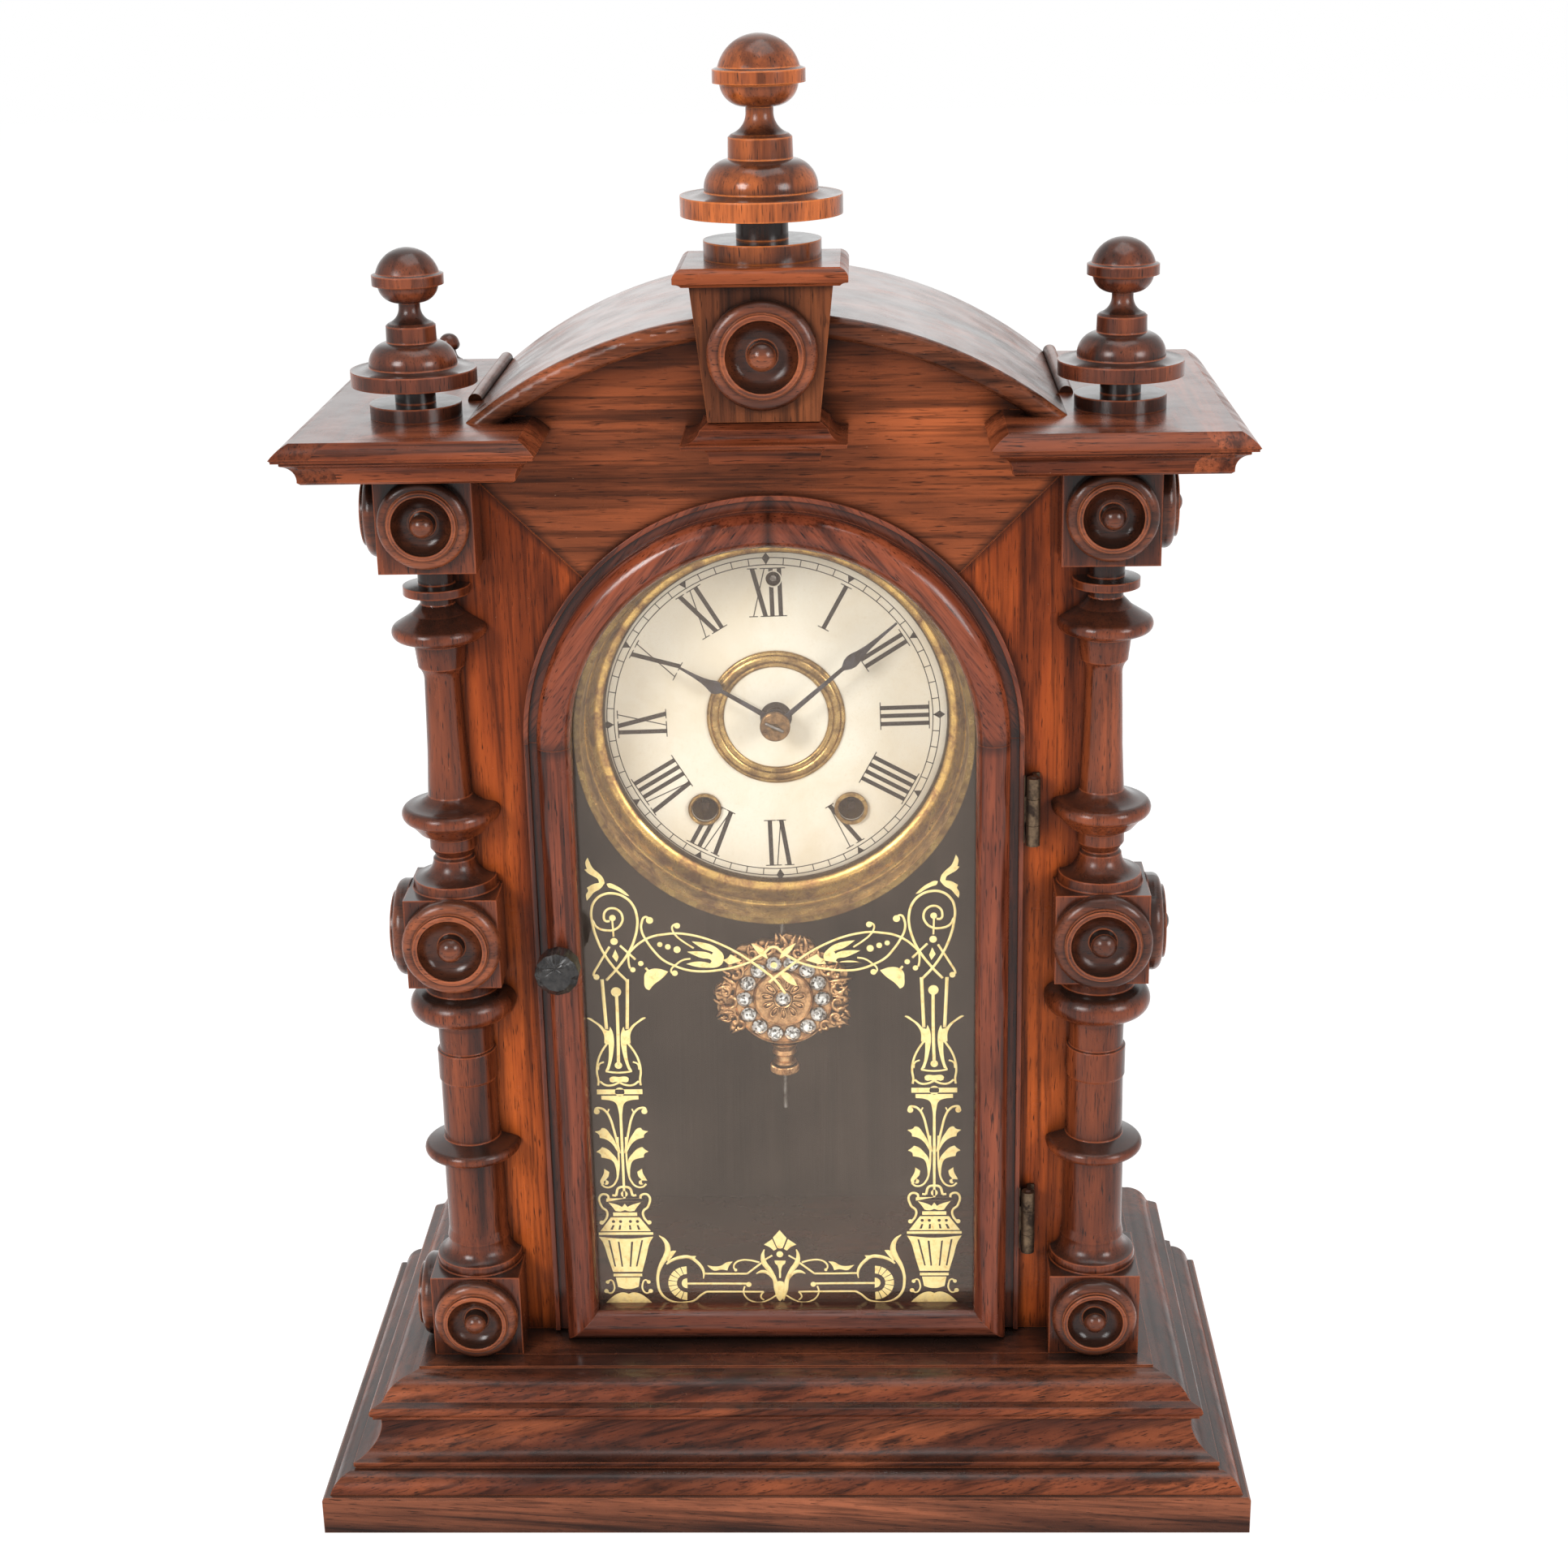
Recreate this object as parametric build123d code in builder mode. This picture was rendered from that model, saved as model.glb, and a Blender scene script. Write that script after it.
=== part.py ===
"""Shelf clock with an arched roof, turned columns, a glazed door and a striking movement.

The origin is the middle of the slab's underside. X is to the right, Y to the back, Z up.
"""

import math
import os

from build123d import *

os.makedirs("parts", exist_ok=True)

# Driving sizes of the case, in millimetres
clock_width = 330.0
clock_depth = 168.0
overrun = 2.0

# Clearances
door_gap = 1.0
lip_gap = 0.3
running_fit = 0.05
loose_gap = 0.3

half_width = clock_width / 2
front = -clock_depth / 2
back = clock_depth / 2


# Shared makers
def dome_middle(start, top):
    """The middle point of the arc from start to a top on the axis that a ball has."""
    rise = top[1] - start[1]
    ball = (start[0] ** 2 + rise**2) / (2 * rise)
    turn = math.atan2(start[0], ball - rise) / 2
    return (ball * math.sin(turn), top[1] - ball + ball * math.cos(turn))


def moulding_run(rows, foot, reach, rise):
    """Lines and arcs through rows of out, up and bulge shares of a reach and a rise."""
    points = [(foot[0] + reach * out, foot[1] + rise * up) for out, up, _ in rows]
    for start, end, (out, _, bulge) in zip(points, points[1:], rows[1:]):
        if bulge and foot[0] == out == 0:
            ThreePointArc(start, dome_middle(start, end), end)
        elif bulge:
            SagittaArc(start, end, bulge * math.dist(start, end))
        else:
            Line(start, end)
    return points


def turned(rows, radius, low, high):
    """A turning about Z from low to high, from rows of radius, height and bulge shares."""
    with BuildPart() as turning:
        with BuildSketch(Plane.XZ):
            with BuildLine():
                points = moulding_run(rows, (0, low), radius, high - low)
                closing = [(0, points[-1][1]), (0, points[0][1]), points[0]]
                if points[-1][0] > 0:
                    closing.insert(0, points[-1])
                Polyline(*closing)
            make_face()
        revolve(axis=Axis.Z)
    return turning.part


def forward_plane(x):
    """A plane across X, whose own x looks forward, out of the clock's face."""
    return Plane(origin=(x, 0, 0), x_dir=(0, -1, 0), z_dir=(-1, 0, 0))


def upright(y, x=0, z=0):
    """A plane across Y that looks forward, with X and Z as on the clock's face."""
    return Plane(origin=(x, y, z), x_dir=(1, 0, 0), z_dir=(0, -1, 0))


def moulded_block(rows, block_half_width, block_front, block_back, low, high, overhang):
    """A block with one moulding round its front and both sides, mitred at the corners."""
    with BuildPart() as block:
        with BuildSketch(Plane.XZ.offset(-block_back)):
            with BuildLine():
                foot = (block_half_width - overhang, low)
                points = moulding_run(rows, foot, overhang, high - low)
                Polyline(points[-1], (0, high), (0, low), points[0])
            make_face()
        extrude(amount=block_back - block_front)
        mirror(about=Plane.YZ)
        with BuildSketch(forward_plane(0)):
            with BuildLine():
                foot = (-block_front - overhang, low)
                points = moulding_run(rows, foot, overhang, high - low)
                Polyline(points[-1], (-block_back, high), (-block_back, low), points[0])
            make_face()
        extrude(amount=block_half_width, both=True, mode=Mode.INTERSECT)
    return block.part


def save(name, *pieces):
    """Write finished pieces that share a node under its name, each as solids of its own."""
    node = Compound([solid for piece in pieces for solid in piece.solids()])
    node.label = name
    export_step(node, f"parts/{name}.step")


# Plinth: a slab, two tiers of moulding and the frame that they are glued to
slab_height = 14.0
lower_tier_top = 36.0
plinth_top = 48.6
lower_tier_reach = 16.5
upper_tier_reach = 15.2
upper_tier_set_back = 16.8
strip_width = 40.0
carcase_wall = 10.0
slab_round = 0.8

lower_tier_shares = [
    (0, 0, 0),
    (0.85, 0, 0),
    (0.82, 0.05, 0),
    (0.46, 0.27, -0.14),
    (0.36, 0.27, 0),
    (0.36, 0.3, 0),
    (0.39, 0.31, 0),
    (0.39, 0.38, 0),
    (-0.16, 0.97, 0.22),
    (-0.16, 1, 0),
]
upper_tier_shares = [
    (1, 0, 0),
    (1, 0.08, 0),
    (1.0, 0.36, -0.3),
    (0.8, 0.42, 0),
    (0.76, 0.48, 0),
    (0.16, 0.9, -0.16),
    (0.0, 0.94, 0),
    (0.0, 1, 0),
]

with BuildPart() as plinth_slab:
    with BuildSketch():
        Rectangle(clock_width, clock_depth)
    extrude(amount=slab_height)
    chamfer(plinth_slab.edges().group_by(Axis.Z)[-1], slab_round)
save("plinth_slab", plinth_slab.part)


def tier_section(plane, rows, set_back, reach, low, high):
    """Closed section of one tier of moulding, measured inwards from the slab's edge."""
    with BuildSketch(plane) as section:
        with BuildLine():
            foot = (-set_back - reach, low)
            points = moulding_run(rows, foot, reach, high - low)
            Polyline(points[-1], (-strip_width, high), (-strip_width, low), points[0])
        make_face()
    return section.sketch


def front_strip(rows, set_back, reach, low, high):
    """The strip along the front, mitred at both ends."""
    with BuildPart() as strip:
        plane = Plane(origin=(0, front, 0), x_dir=(0, -1, 0), z_dir=(-1, 0, 0))
        section = tier_section(plane, rows, set_back, reach, low, high)
        extrude(section, amount=half_width, both=True)
        for side in (-1, 1):
            corner = (side * half_width, front, 0)
            split(bisect_by=Plane(origin=corner, z_dir=(-side, -1, 0)), keep=Keep.TOP)
    return strip.part


def side_strips(rows, set_back, reach, low, high):
    """The strips along both sides, mitred at the front and square at the back."""
    with BuildPart() as strips:
        plane = Plane(origin=(half_width, back, 0), x_dir=(1, 0, 0), z_dir=(0, -1, 0))
        section = tier_section(plane, rows, set_back, reach, low, high)
        extrude(section, amount=clock_depth)
        corner = (half_width, front, 0)
        split(bisect_by=Plane(origin=corner, z_dir=(1, 1, 0)), keep=Keep.TOP)
        mirror(about=Plane.YZ)
    return strips.part


lower_tier = (lower_tier_shares, 0, lower_tier_reach, slab_height, lower_tier_top)
upper_tier = (upper_tier_shares, upper_tier_set_back, upper_tier_reach, lower_tier_top, plinth_top)
save("plinth_lower_moulding", front_strip(*lower_tier), side_strips(*lower_tier))
save("plinth_upper_moulding", front_strip(*upper_tier), side_strips(*upper_tier))

carcase_half_width = half_width - strip_width
carcase_front = front + strip_width
carcase_depth = back - carcase_front
with BuildPart() as plinth_carcase:
    with BuildSketch(Plane.XY.offset(slab_height)):
        with Locations((0, (carcase_front + back) / 2)):
            Rectangle(2 * carcase_half_width, carcase_depth)
    extrude(amount=plinth_top - slab_height)
    with BuildSketch(Plane.XY.offset(slab_height)):
        with Locations((0, (carcase_front + back) / 2)):
            Rectangle(2 * (carcase_half_width - carcase_wall), carcase_depth - 2 * carcase_wall)
    extrude(amount=plinth_top - slab_height - carcase_wall, mode=Mode.SUBTRACT)
save("plinth_carcase", plinth_carcase.part)

# Case: front frame, sides and back
case_half_width = 117.0
frame_set_back_share = 0.345238
frame_front = front + clock_depth * frame_set_back_share
frame_thickness = 10.0
side_thickness = 10.0
back_thickness = 8.0
case_top = 377.6
mitre_height = 273.4

# Door opening, which the arched door follows
arch_centre = 279.0
door_body_radius = 80.0
door_body_foot = 55.0
frame_back = frame_front + frame_thickness
opening_radius = door_body_radius + door_gap
opening_foot = door_body_foot - door_gap

# Caps on the columns and the roof over the arch
cap_half_width = 41.95
cap_centre = 113.25
cap_reach = 45.2
cap_lip_front = frame_front - cap_reach
cap_overhang = 8.1
cap_top = 391.5
roof_radius = 155.0
roof_half_span = 97.5
roof_centre = cap_top - math.sqrt(roof_radius**2 - roof_half_span**2)
roof_thickness = 7.4
roof_reach = 13.4
roof_front = frame_front - roof_reach
roof_nose = 3.2

cap_inner = cap_centre - cap_half_width + cap_overhang
soffit_radius = roof_radius - roof_thickness


def opening_outline():
    """The arched outline of the door opening, in X and Z."""
    with Locations((0, arch_centre)):
        Circle(opening_radius)
    with Locations((0, (arch_centre + opening_foot) / 2)):
        Rectangle(2 * opening_radius, arch_centre - opening_foot)


def gable_outline(half_span):
    """The case's outline under the roof, with shoulders below the caps."""
    with Locations((0, (plinth_top + case_top) / 2)):
        Rectangle(2 * half_span, case_top - plinth_top)
    with Locations((0, case_top)):
        Rectangle(2 * cap_inner, 2 * (cap_top - case_top))
    with BuildSketch(mode=Mode.PRIVATE) as lunette:
        with Locations((0, roof_centre)):
            Circle(soffit_radius)
        with Locations((0, cap_top + roof_radius)):
            Rectangle(2 * roof_radius, 2 * roof_radius, mode=Mode.INTERSECT)
    add(lunette.sketch)


with BuildPart() as front_frame:
    with BuildSketch(Plane.XZ.offset(-frame_back)):
        gable_outline(case_half_width)
    extrude(amount=frame_thickness)
    with BuildSketch(Plane.XZ.offset(-frame_back)):
        opening_outline()
    extrude(amount=frame_thickness, mode=Mode.SUBTRACT)

frame_rail_top = opening_foot

with BuildPart() as front_head:
    add(front_frame.part)
    for side in (-1, 1):
        split(bisect_by=Plane(origin=(0, 0, mitre_height), z_dir=(-side, 0, 1)), keep=Keep.TOP)
save("front_head", front_head.part)

with BuildPart() as front_rail:
    add(front_frame.part)
    split(bisect_by=Plane.XY.offset(frame_rail_top), keep=Keep.BOTTOM)
    with BuildSketch(Plane.XY.offset(plinth_top)):
        with Locations((0, frame_front)):
            Rectangle(2 * opening_radius, 2 * frame_thickness)
    extrude(amount=frame_rail_top - plinth_top, mode=Mode.INTERSECT)
save("front_rail", front_rail.part)

with BuildPart() as front_stiles:
    add(front_frame.part)
    add(front_head.part, mode=Mode.SUBTRACT)
    add(front_rail.part, mode=Mode.SUBTRACT)
save("front_stiles", front_stiles.part)

with BuildPart() as side_panels:
    with BuildSketch(Plane.XY.offset(plinth_top)):
        with Locations((case_half_width - side_thickness / 2, (frame_back + back) / 2)):
            Rectangle(side_thickness, back - frame_back)
    extrude(amount=case_top - plinth_top)
    mirror(about=Plane.YZ)
save("side_panels", side_panels.part)

back_inner = back - back_thickness
with BuildPart() as back_board:
    with BuildSketch(Plane.XZ.offset(-back)):
        gable_outline(case_half_width - side_thickness)
    extrude(amount=back_thickness)
save("back_board", back_board.part)

# Caps: a board over each column with a moulded edge that returns to the front frame
cap_shares = [
    (0, 0, 0),
    (0.12, 0.06, 0),
    (0.62, 0.5, 0.18),
    (0.66, 0.52, 0),
    (0.66, 0.58, 0),
    (0.93, 0.6, 0),
    (1, 0.68, 0.2),
    (0.3, 1, -0.06),
    (0, 1, 0),
]
for name, side in (("cap_left", -1), ("cap_right", 1)):
    cap_block = moulded_block(
        cap_shares, cap_half_width, cap_lip_front, back, case_top, cap_top, cap_overhang
    )
    with BuildPart() as cap:
        with Locations((side * cap_centre, 0, 0)):
            add(cap_block)
        with BuildSketch(Plane.XY.offset(case_top)):
            with Locations((0, frame_front + clock_depth / 2)):
                Rectangle(2 * cap_inner, clock_depth)
        extrude(amount=cap_top - case_top, mode=Mode.SUBTRACT)
    save(name, cap.part)

with BuildPart() as arched_roof:
    with BuildSketch(Plane.XZ.offset(-back)):
        with Locations((0, roof_centre)):
            Circle(roof_radius)
            Circle(soffit_radius, mode=Mode.SUBTRACT)
        with Locations((0, cap_top + roof_radius)):
            Rectangle(2 * roof_radius, 2 * roof_radius, mode=Mode.INTERSECT)
    extrude(amount=back - roof_front)
    nose_edges = arched_roof.faces().sort_by(Axis.Y)[0].edges().filter_by(GeomType.CIRCLE)
    fillet(nose_edges, roof_nose)
save("arched_roof", arched_roof.part)

# Half-round strips that cover the joint between the roof and each cap
ridge_strip_radius = 2.4
ridge_strip_set_back = 28.0
ridge_strip_front = frame_front + ridge_strip_set_back
ridge_strip_place = roof_half_span + ridge_strip_radius
with BuildPart() as ridge_strips:
    with BuildSketch(Plane.XZ.offset(-back)):
        with Locations((ridge_strip_place, cap_top)):
            Circle(ridge_strip_radius)
        with Locations((ridge_strip_place, cap_top + ridge_strip_radius)):
            Rectangle(2 * ridge_strip_radius, 2 * ridge_strip_radius, mode=Mode.INTERSECT)
    extrude(amount=back - ridge_strip_front)
    mirror(about=Plane.YZ)
save("ridge_strips", ridge_strips.part)

# Keystone, its ledge and its cap
keystone_foot = 393.4
keystone_top = 436.7
keystone_foot_width = 35.8
keystone_top_width = 45.3
keystone_reach = 25.0
keystone_tail = 12.0
keystone_front = frame_front - keystone_reach
keystone_back = frame_front + keystone_tail
ledge_low = 380.0
ledge_half_width = 26.75
ledge_reach = 33.0
ledge_front = frame_front - ledge_reach
ledge_overhang = 8.8
keystone_cap_half_width = 27.45
keystone_cap_reach = 31.5
keystone_cap_tail = 16.0
keystone_cap_front = frame_front - keystone_cap_reach
keystone_cap_back = frame_front + keystone_cap_tail
keystone_cap_overhang = 4.8
keystone_cap_top = 442.5

with BuildPart() as keystone:
    with BuildSketch(Plane.XZ.offset(-keystone_back)):
        with BuildLine():
            Polyline(
                (-keystone_foot_width / 2, keystone_foot),
                (keystone_foot_width / 2, keystone_foot),
                (keystone_top_width / 2, keystone_top),
                (-keystone_top_width / 2, keystone_top),
                close=True,
            )
        make_face()
    extrude(amount=keystone_back - keystone_front)
    with BuildSketch(Plane.XZ.offset(-back)):
        with Locations((0, roof_centre)):
            Circle(roof_radius)
    extrude(amount=back - frame_front, mode=Mode.SUBTRACT)
    with BuildSketch(Plane.XZ.offset(-frame_front)):
        with Locations((0, roof_centre)):
            Circle(roof_radius)
            Circle(soffit_radius, mode=Mode.SUBTRACT)
    extrude(amount=frame_front - roof_front, mode=Mode.SUBTRACT)
save("keystone", keystone.part)

ledge_shares = [
    (0, 0, 0),
    (0.1, 0.3, 0.1),
    (0.5, 0.44, 0.1),
    (0.97, 0.46, 0),
    (1, 0.56, 0.1),
    (0.3, 0.84, 0.2),
    (0, 1, 0),
]
keystone_ledge = moulded_block(
    ledge_shares, ledge_half_width, ledge_front, frame_front, ledge_low, keystone_foot, ledge_overhang
)
save("keystone_ledge", keystone_ledge)

keystone_cap_shares = [(0.45, 0, 0), (0.9, 0.2, 0.1), (1, 0.55, -0.3), (0.45, 1, -0.12), (0, 1, 0)]
keystone_cap_middle = (keystone_cap_front + keystone_cap_back) / 2
cap_half_depth = (keystone_cap_back - keystone_cap_front) / 2
half_cap = moulded_block(
    keystone_cap_shares,
    keystone_cap_half_width,
    -cap_half_depth,
    0,
    keystone_top,
    keystone_cap_top,
    keystone_cap_overhang,
)
with BuildPart() as keystone_cap:
    add(half_cap)
    mirror(about=Plane.XZ)
keystone_cap.part.position = (0, keystone_cap_middle, 0)
save("keystone_cap", keystone_cap.part)

# Finials: rows are radius, height and bulge shares of the widest disc and the height
finial_height = 69.0
finial_radius = 25.9
side_finial_share = 0.797
finial_reach = 5.0
finial_y = frame_front - finial_reach
side_finial_x = 115.6
side_finial_set_back = 2.6
side_finial_y = frame_front + side_finial_set_back
finial_shares = [
    (0.73, 0, 0),
    (0.73, 0.087, 0),
    (0.324, 0.087, 0),
    (0.324, 0.175, 0),
    (0.56, 0.19, 0),
    (1, 0.2, 0),
    (1, 0.29, 0),
    (0.7, 0.305, 0.1),
    (0.4, 0.45, -0.2),
    (0.394, 0.545, 0),
    (0.35, 0.56, 0),
    (0.17, 0.65, 0.16),
    (0.17, 0.68, 0),
    (0.48, 0.78, -0.2),
    (0.566, 0.785, 0),
    (0.566, 0.845, 0),
    (0.5, 0.855, 0),
    (0, 1, -0.22),
]
with BuildPart() as finial_centre:
    with Locations((0, finial_y, 0)):
        add(turned(finial_shares, finial_radius, keystone_cap_top, keystone_cap_top + finial_height))
save("finial_centre", finial_centre.part)

side_finial = turned(
    finial_shares,
    finial_radius * side_finial_share,
    cap_top,
    cap_top + finial_height * side_finial_share,
)
with BuildPart() as finials_side:
    with Locations((-side_finial_x, side_finial_y, 0), (side_finial_x, side_finial_y, 0)):
        add(side_finial)
save("finials_side", finials_side.part)

# A small turned stud at the back of the left cap
stud_radius = 4.6
stud_height = 10.5
stud_x = -120.0
stud_inset = 5.5
stud_shares = [
    (1, 0, 0),
    (1, 0.1, 0),
    (0.55, 0.32, 0.15),
    (0.5, 0.42, 0),
    (0.8, 0.7, -0.25),
    (0, 1, -0.25),
]
with BuildPart() as cap_stud:
    with Locations((stud_x, back - stud_inset, 0)):
        add(turned(stud_shares, stud_radius, cap_top, cap_top + stud_height))
save("cap_stud", cap_stud.part)

# Columns: square blocks with turned shafts between, lapped over the case's corner
column_x = 112.0
column_reach = 1.8
column_y = frame_front - column_reach
block_width = 32.4
lower_block_top = 80.2
middle_block_low = 194.8
middle_block_top = 227.5
upper_block_low = 343.0
block_radius = block_width / 2
lower_shaft_shares = [
    (0.94, 0, 0),
    (0.94, 0.03, -0.1),
    (0.7, 0.09, 0.2),
    (0.66, 0.12, 0),
    (0.655, 0.38, 0),
    (0.95, 0.385, 0),
    (0.95, 0.425, -0.4),
    (0.62, 0.44, 0),
    (0.61, 0.64, 0),
    (0.645, 0.645, 0),
    (0.645, 0.74, 0),
    (0.59, 0.745, 0),
    (0.6, 0.82, 0),
    (0.66, 0.845, 0.15),
    (0.9, 0.855, 0),
    (0.9, 0.945, -0.4),
    (0.8, 0.95, 0),
    (0.94, 1, 0.1),
]
upper_shaft_shares = [
    (0.92, 0, 0),
    (0.88, 0.03, 0),
    (0.45, 0.09, 0.2),
    (0.38, 0.1, 0),
    (0.5, 0.125, 0),
    (0.5, 0.16, 0),
    (0.7, 0.175, 0),
    (0.91, 0.21, 0),
    (0.91, 0.26, -0.4),
    (0.47, 0.29, 0.1),
    (0.42, 0.43, 0),
    (0.38, 0.65, 0),
    (0.49, 0.69, 0.1),
    (0.55, 0.76, 0),
    (0.86, 0.775, 0),
    (0.9, 0.82, -0.35),
    (0.56, 0.85, 0),
    (0.36, 0.88, 0),
    (0.36, 0.905, 0),
    (0.7, 0.91, 0),
    (0.7, 0.935, 0),
    (0.38, 0.94, 0),
    (0.38, 1, 0),
]
lower_shaft = turned(lower_shaft_shares, block_radius, lower_block_top, middle_block_low)
upper_shaft = turned(upper_shaft_shares, block_radius, middle_block_top, upper_block_low)
block_spans = [
    (plinth_top, lower_block_top),
    (middle_block_low, middle_block_top),
    (upper_block_low, case_top),
]
for name, side in (("column_left", -1), ("column_right", 1)):
    with BuildPart() as column:
        with Locations((side * column_x, column_y, 0)):
            add(lower_shaft)
            add(upper_shaft)
        for low, high in block_spans:
            with BuildSketch(Plane.XY.offset(low)):
                with Locations((side * column_x, column_y)):
                    Rectangle(block_width, block_width)
            extrude(amount=high - low)
        with BuildSketch(Plane.XY.offset(plinth_top)):
            with Locations((0, frame_front + clock_depth / 2)):
                Rectangle(2 * case_half_width, clock_depth)
        extrude(amount=case_top - plinth_top, mode=Mode.SUBTRACT)
    save(name, column.part)

# Turned bosses on the blocks, the keystone and the small blocks at the back of each side
boss_radius = 15.1
middle_boss_radius = 17.1
keystone_boss_radius = 17.6
rear_boss_radius = 12.0
boss_height = 8.4
side_boss_shift = 1.4
rear_boss_share = 0.75
rear_block_width = 26.0
rear_block_thickness = 6.0
rear_block_inset = 17.0
boss_shares = [
    (1, 0, 0),
    (1, 0.2, 0),
    (0.76, 0.56, -0.3),
    (0.75, 0.74, 0),
    (0.66, 0.76, 0),
    (0.34, 0.16, 0.2),
    (0.28, 0.18, 0),
    (0.26, 0.66, 0),
    (0, 1, -0.2),
]


def boss(radius, height):
    """A turned boss that stands on the origin and points up."""
    return turned(boss_shares, radius, 0, height)


upper_boss_height = (upper_block_low + case_top) / 2
middle_boss_height = (middle_block_low + middle_block_top) / 2
lower_boss_height = (plinth_top + lower_block_top) / 2
block_front = column_y - block_radius
block_side = column_x + block_radius
side_boss_y = column_y + side_boss_shift
small_boss = boss(boss_radius, boss_height)
middle_boss = boss(middle_boss_radius, boss_height)
boss_places = [
    (small_boss, lower_boss_height),
    (middle_boss, middle_boss_height),
    (small_boss, upper_boss_height),
]
with BuildPart() as bosses_front:
    for turning, height in boss_places:
        for side in (-1, 1):
            with Locations(upright(block_front, side * column_x, height)):
                add(turning)

keystone_boss_rise = (keystone_foot + keystone_top) / 2
with BuildPart() as boss_keystone:
    with Locations(upright(keystone_front, 0, keystone_boss_rise)):
        add(boss(keystone_boss_radius, boss_height))

# The lowest boss on the right side is missing from its block
with BuildPart() as bosses_side:
    for turning, height in boss_places:
        for side in (-1, 1):
            if side > 0 and height == lower_boss_height:
                continue
            with Locations(Plane((side * block_side, side_boss_y, height), z_dir=(side, 0, 0))):
                add(turning)

rear_y = back - rear_block_inset
rear_heights = (lower_boss_height, middle_boss_height, upper_boss_height)
with BuildPart() as rear_blocks:
    for height in rear_heights:
        for side in (-1, 1):
            with BuildSketch(Plane((side * case_half_width, rear_y, height), z_dir=(side, 0, 0))):
                Rectangle(rear_block_width, rear_block_width)
            extrude(amount=rear_block_thickness)
save("rear_blocks", rear_blocks.part)

rear_boss = boss(rear_boss_radius, boss_height * rear_boss_share)
rear_block_face = case_half_width + rear_block_thickness
with BuildPart() as bosses_rear:
    for height in rear_heights:
        for side in (-1, 1):
            with Locations(Plane((side * rear_block_face, rear_y, height), z_dir=(side, 0, 0))):
                add(rear_boss)
save("bosses", bosses_front.part, boss_keystone.part, bosses_side.part, bosses_rear.part)

# Door: one section runs up the stiles, round the arch and along the rail
lip_overlap = 5.5
lip_width = 1.6
lip_thickness = 2.7
channel_depth = 1.4
channel_set_out = 0.3
crest_set_in = 5.0
rabbet_set_in = 8.5
sight_set_in = 11.0
door_tail = 5.5
glass_reach = 2.0
glass_thickness = 2.0
shoulder_reach = 4.0
sight_reach = 7.0
crest_reach = 11.8
lip_radius = door_body_radius + lip_overlap
channel_inner = door_body_radius + channel_set_out
crest_radius = door_body_radius - crest_set_in
rabbet_radius = door_body_radius - rabbet_set_in
sight_radius = door_body_radius - sight_set_in
door_back = frame_front + door_tail
glass_front = frame_front - glass_reach
sight_front = frame_front - sight_reach
crest_front = frame_front - crest_reach
shoulder_front = frame_front - shoulder_reach
lip_foot = door_body_foot - lip_overlap

lip_back = frame_front - lip_gap
lip_front = lip_back - lip_thickness


def door_section(plane):
    """Closed section of the door moulding on a plane, as radius and Y."""
    with BuildSketch(plane) as section:
        with BuildLine():
            ThreePointArc(
                (sight_radius, sight_front),
                (crest_radius, crest_front),
                (channel_inner, shoulder_front),
            )
            Polyline(
                (channel_inner, shoulder_front),
                (channel_inner, lip_front + channel_depth),
                (lip_radius - lip_width, lip_front + channel_depth),
                (lip_radius - lip_width, lip_front),
                (lip_radius, lip_front),
                (lip_radius, lip_back),
                (door_body_radius, lip_back),
                (door_body_radius, door_back),
                (rabbet_radius, door_back),
                (rabbet_radius, glass_front),
                (sight_radius, glass_front),
                (sight_radius, sight_front),
            )
        make_face()
    return section.sketch


with BuildPart() as door_arch:
    arch_section = door_section(Plane.XY.offset(arch_centre))
    revolve(arch_section, axis=Axis((0, 0, arch_centre), (0, -1, 0)), revolution_arc=180)
save("door_arch", door_arch.part)

latch_set_in = 4.4
latch_x = latch_set_in - door_body_radius
latch_height = 202.0
spindle_radius = 1.6

# The rail has no lip: its body comes down to the foot of the stiles' lips
with BuildPart() as lip_relief:
    with BuildSketch(Plane.XY.offset(lip_foot - overrun)):
        with Locations((0, (lip_back + door_back + overrun) / 2)):
            Rectangle(2 * (lip_radius + overrun), door_back + overrun - lip_back)
    extrude(amount=lip_overlap + overrun)

stile_mitre = Plane(origin=(door_body_radius, 0, lip_foot), z_dir=(1, 0, 1))
with BuildPart() as door_stile_right:
    extrude(door_section(Plane.XY.offset(lip_foot)), amount=arch_centre - lip_foot)
    split(bisect_by=stile_mitre, keep=Keep.TOP)
    add(lip_relief.part, mode=Mode.SUBTRACT)

with BuildPart() as door_stile_left:
    add(mirror(door_stile_right.part, about=Plane.YZ, mode=Mode.PRIVATE))
    with BuildSketch(Plane.XZ.offset(-door_back)):
        with Locations((latch_x, latch_height)):
            Circle(spindle_radius + running_fit)
    extrude(amount=door_back - crest_front + overrun, mode=Mode.SUBTRACT)
save("door_stiles", door_stile_left.part, door_stile_right.part)

with BuildPart() as door_rail:
    rail_centre = lip_foot + door_body_radius
    rail_plane = Plane(origin=(0, 0, rail_centre), x_dir=(0, 0, -1), z_dir=(1, 0, 0))
    extrude(door_section(rail_plane), amount=lip_radius, both=True)
    for side in (-1, 1):
        corner = (side * door_body_radius, 0, lip_foot)
        split(bisect_by=Plane(origin=corner, z_dir=(-side, 0, -1)), keep=Keep.TOP)
    split(bisect_by=Plane.XY.offset(lip_foot), keep=Keep.TOP)
    add(lip_relief.part, mode=Mode.SUBTRACT)
save("door_rail", door_rail.part)

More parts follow.
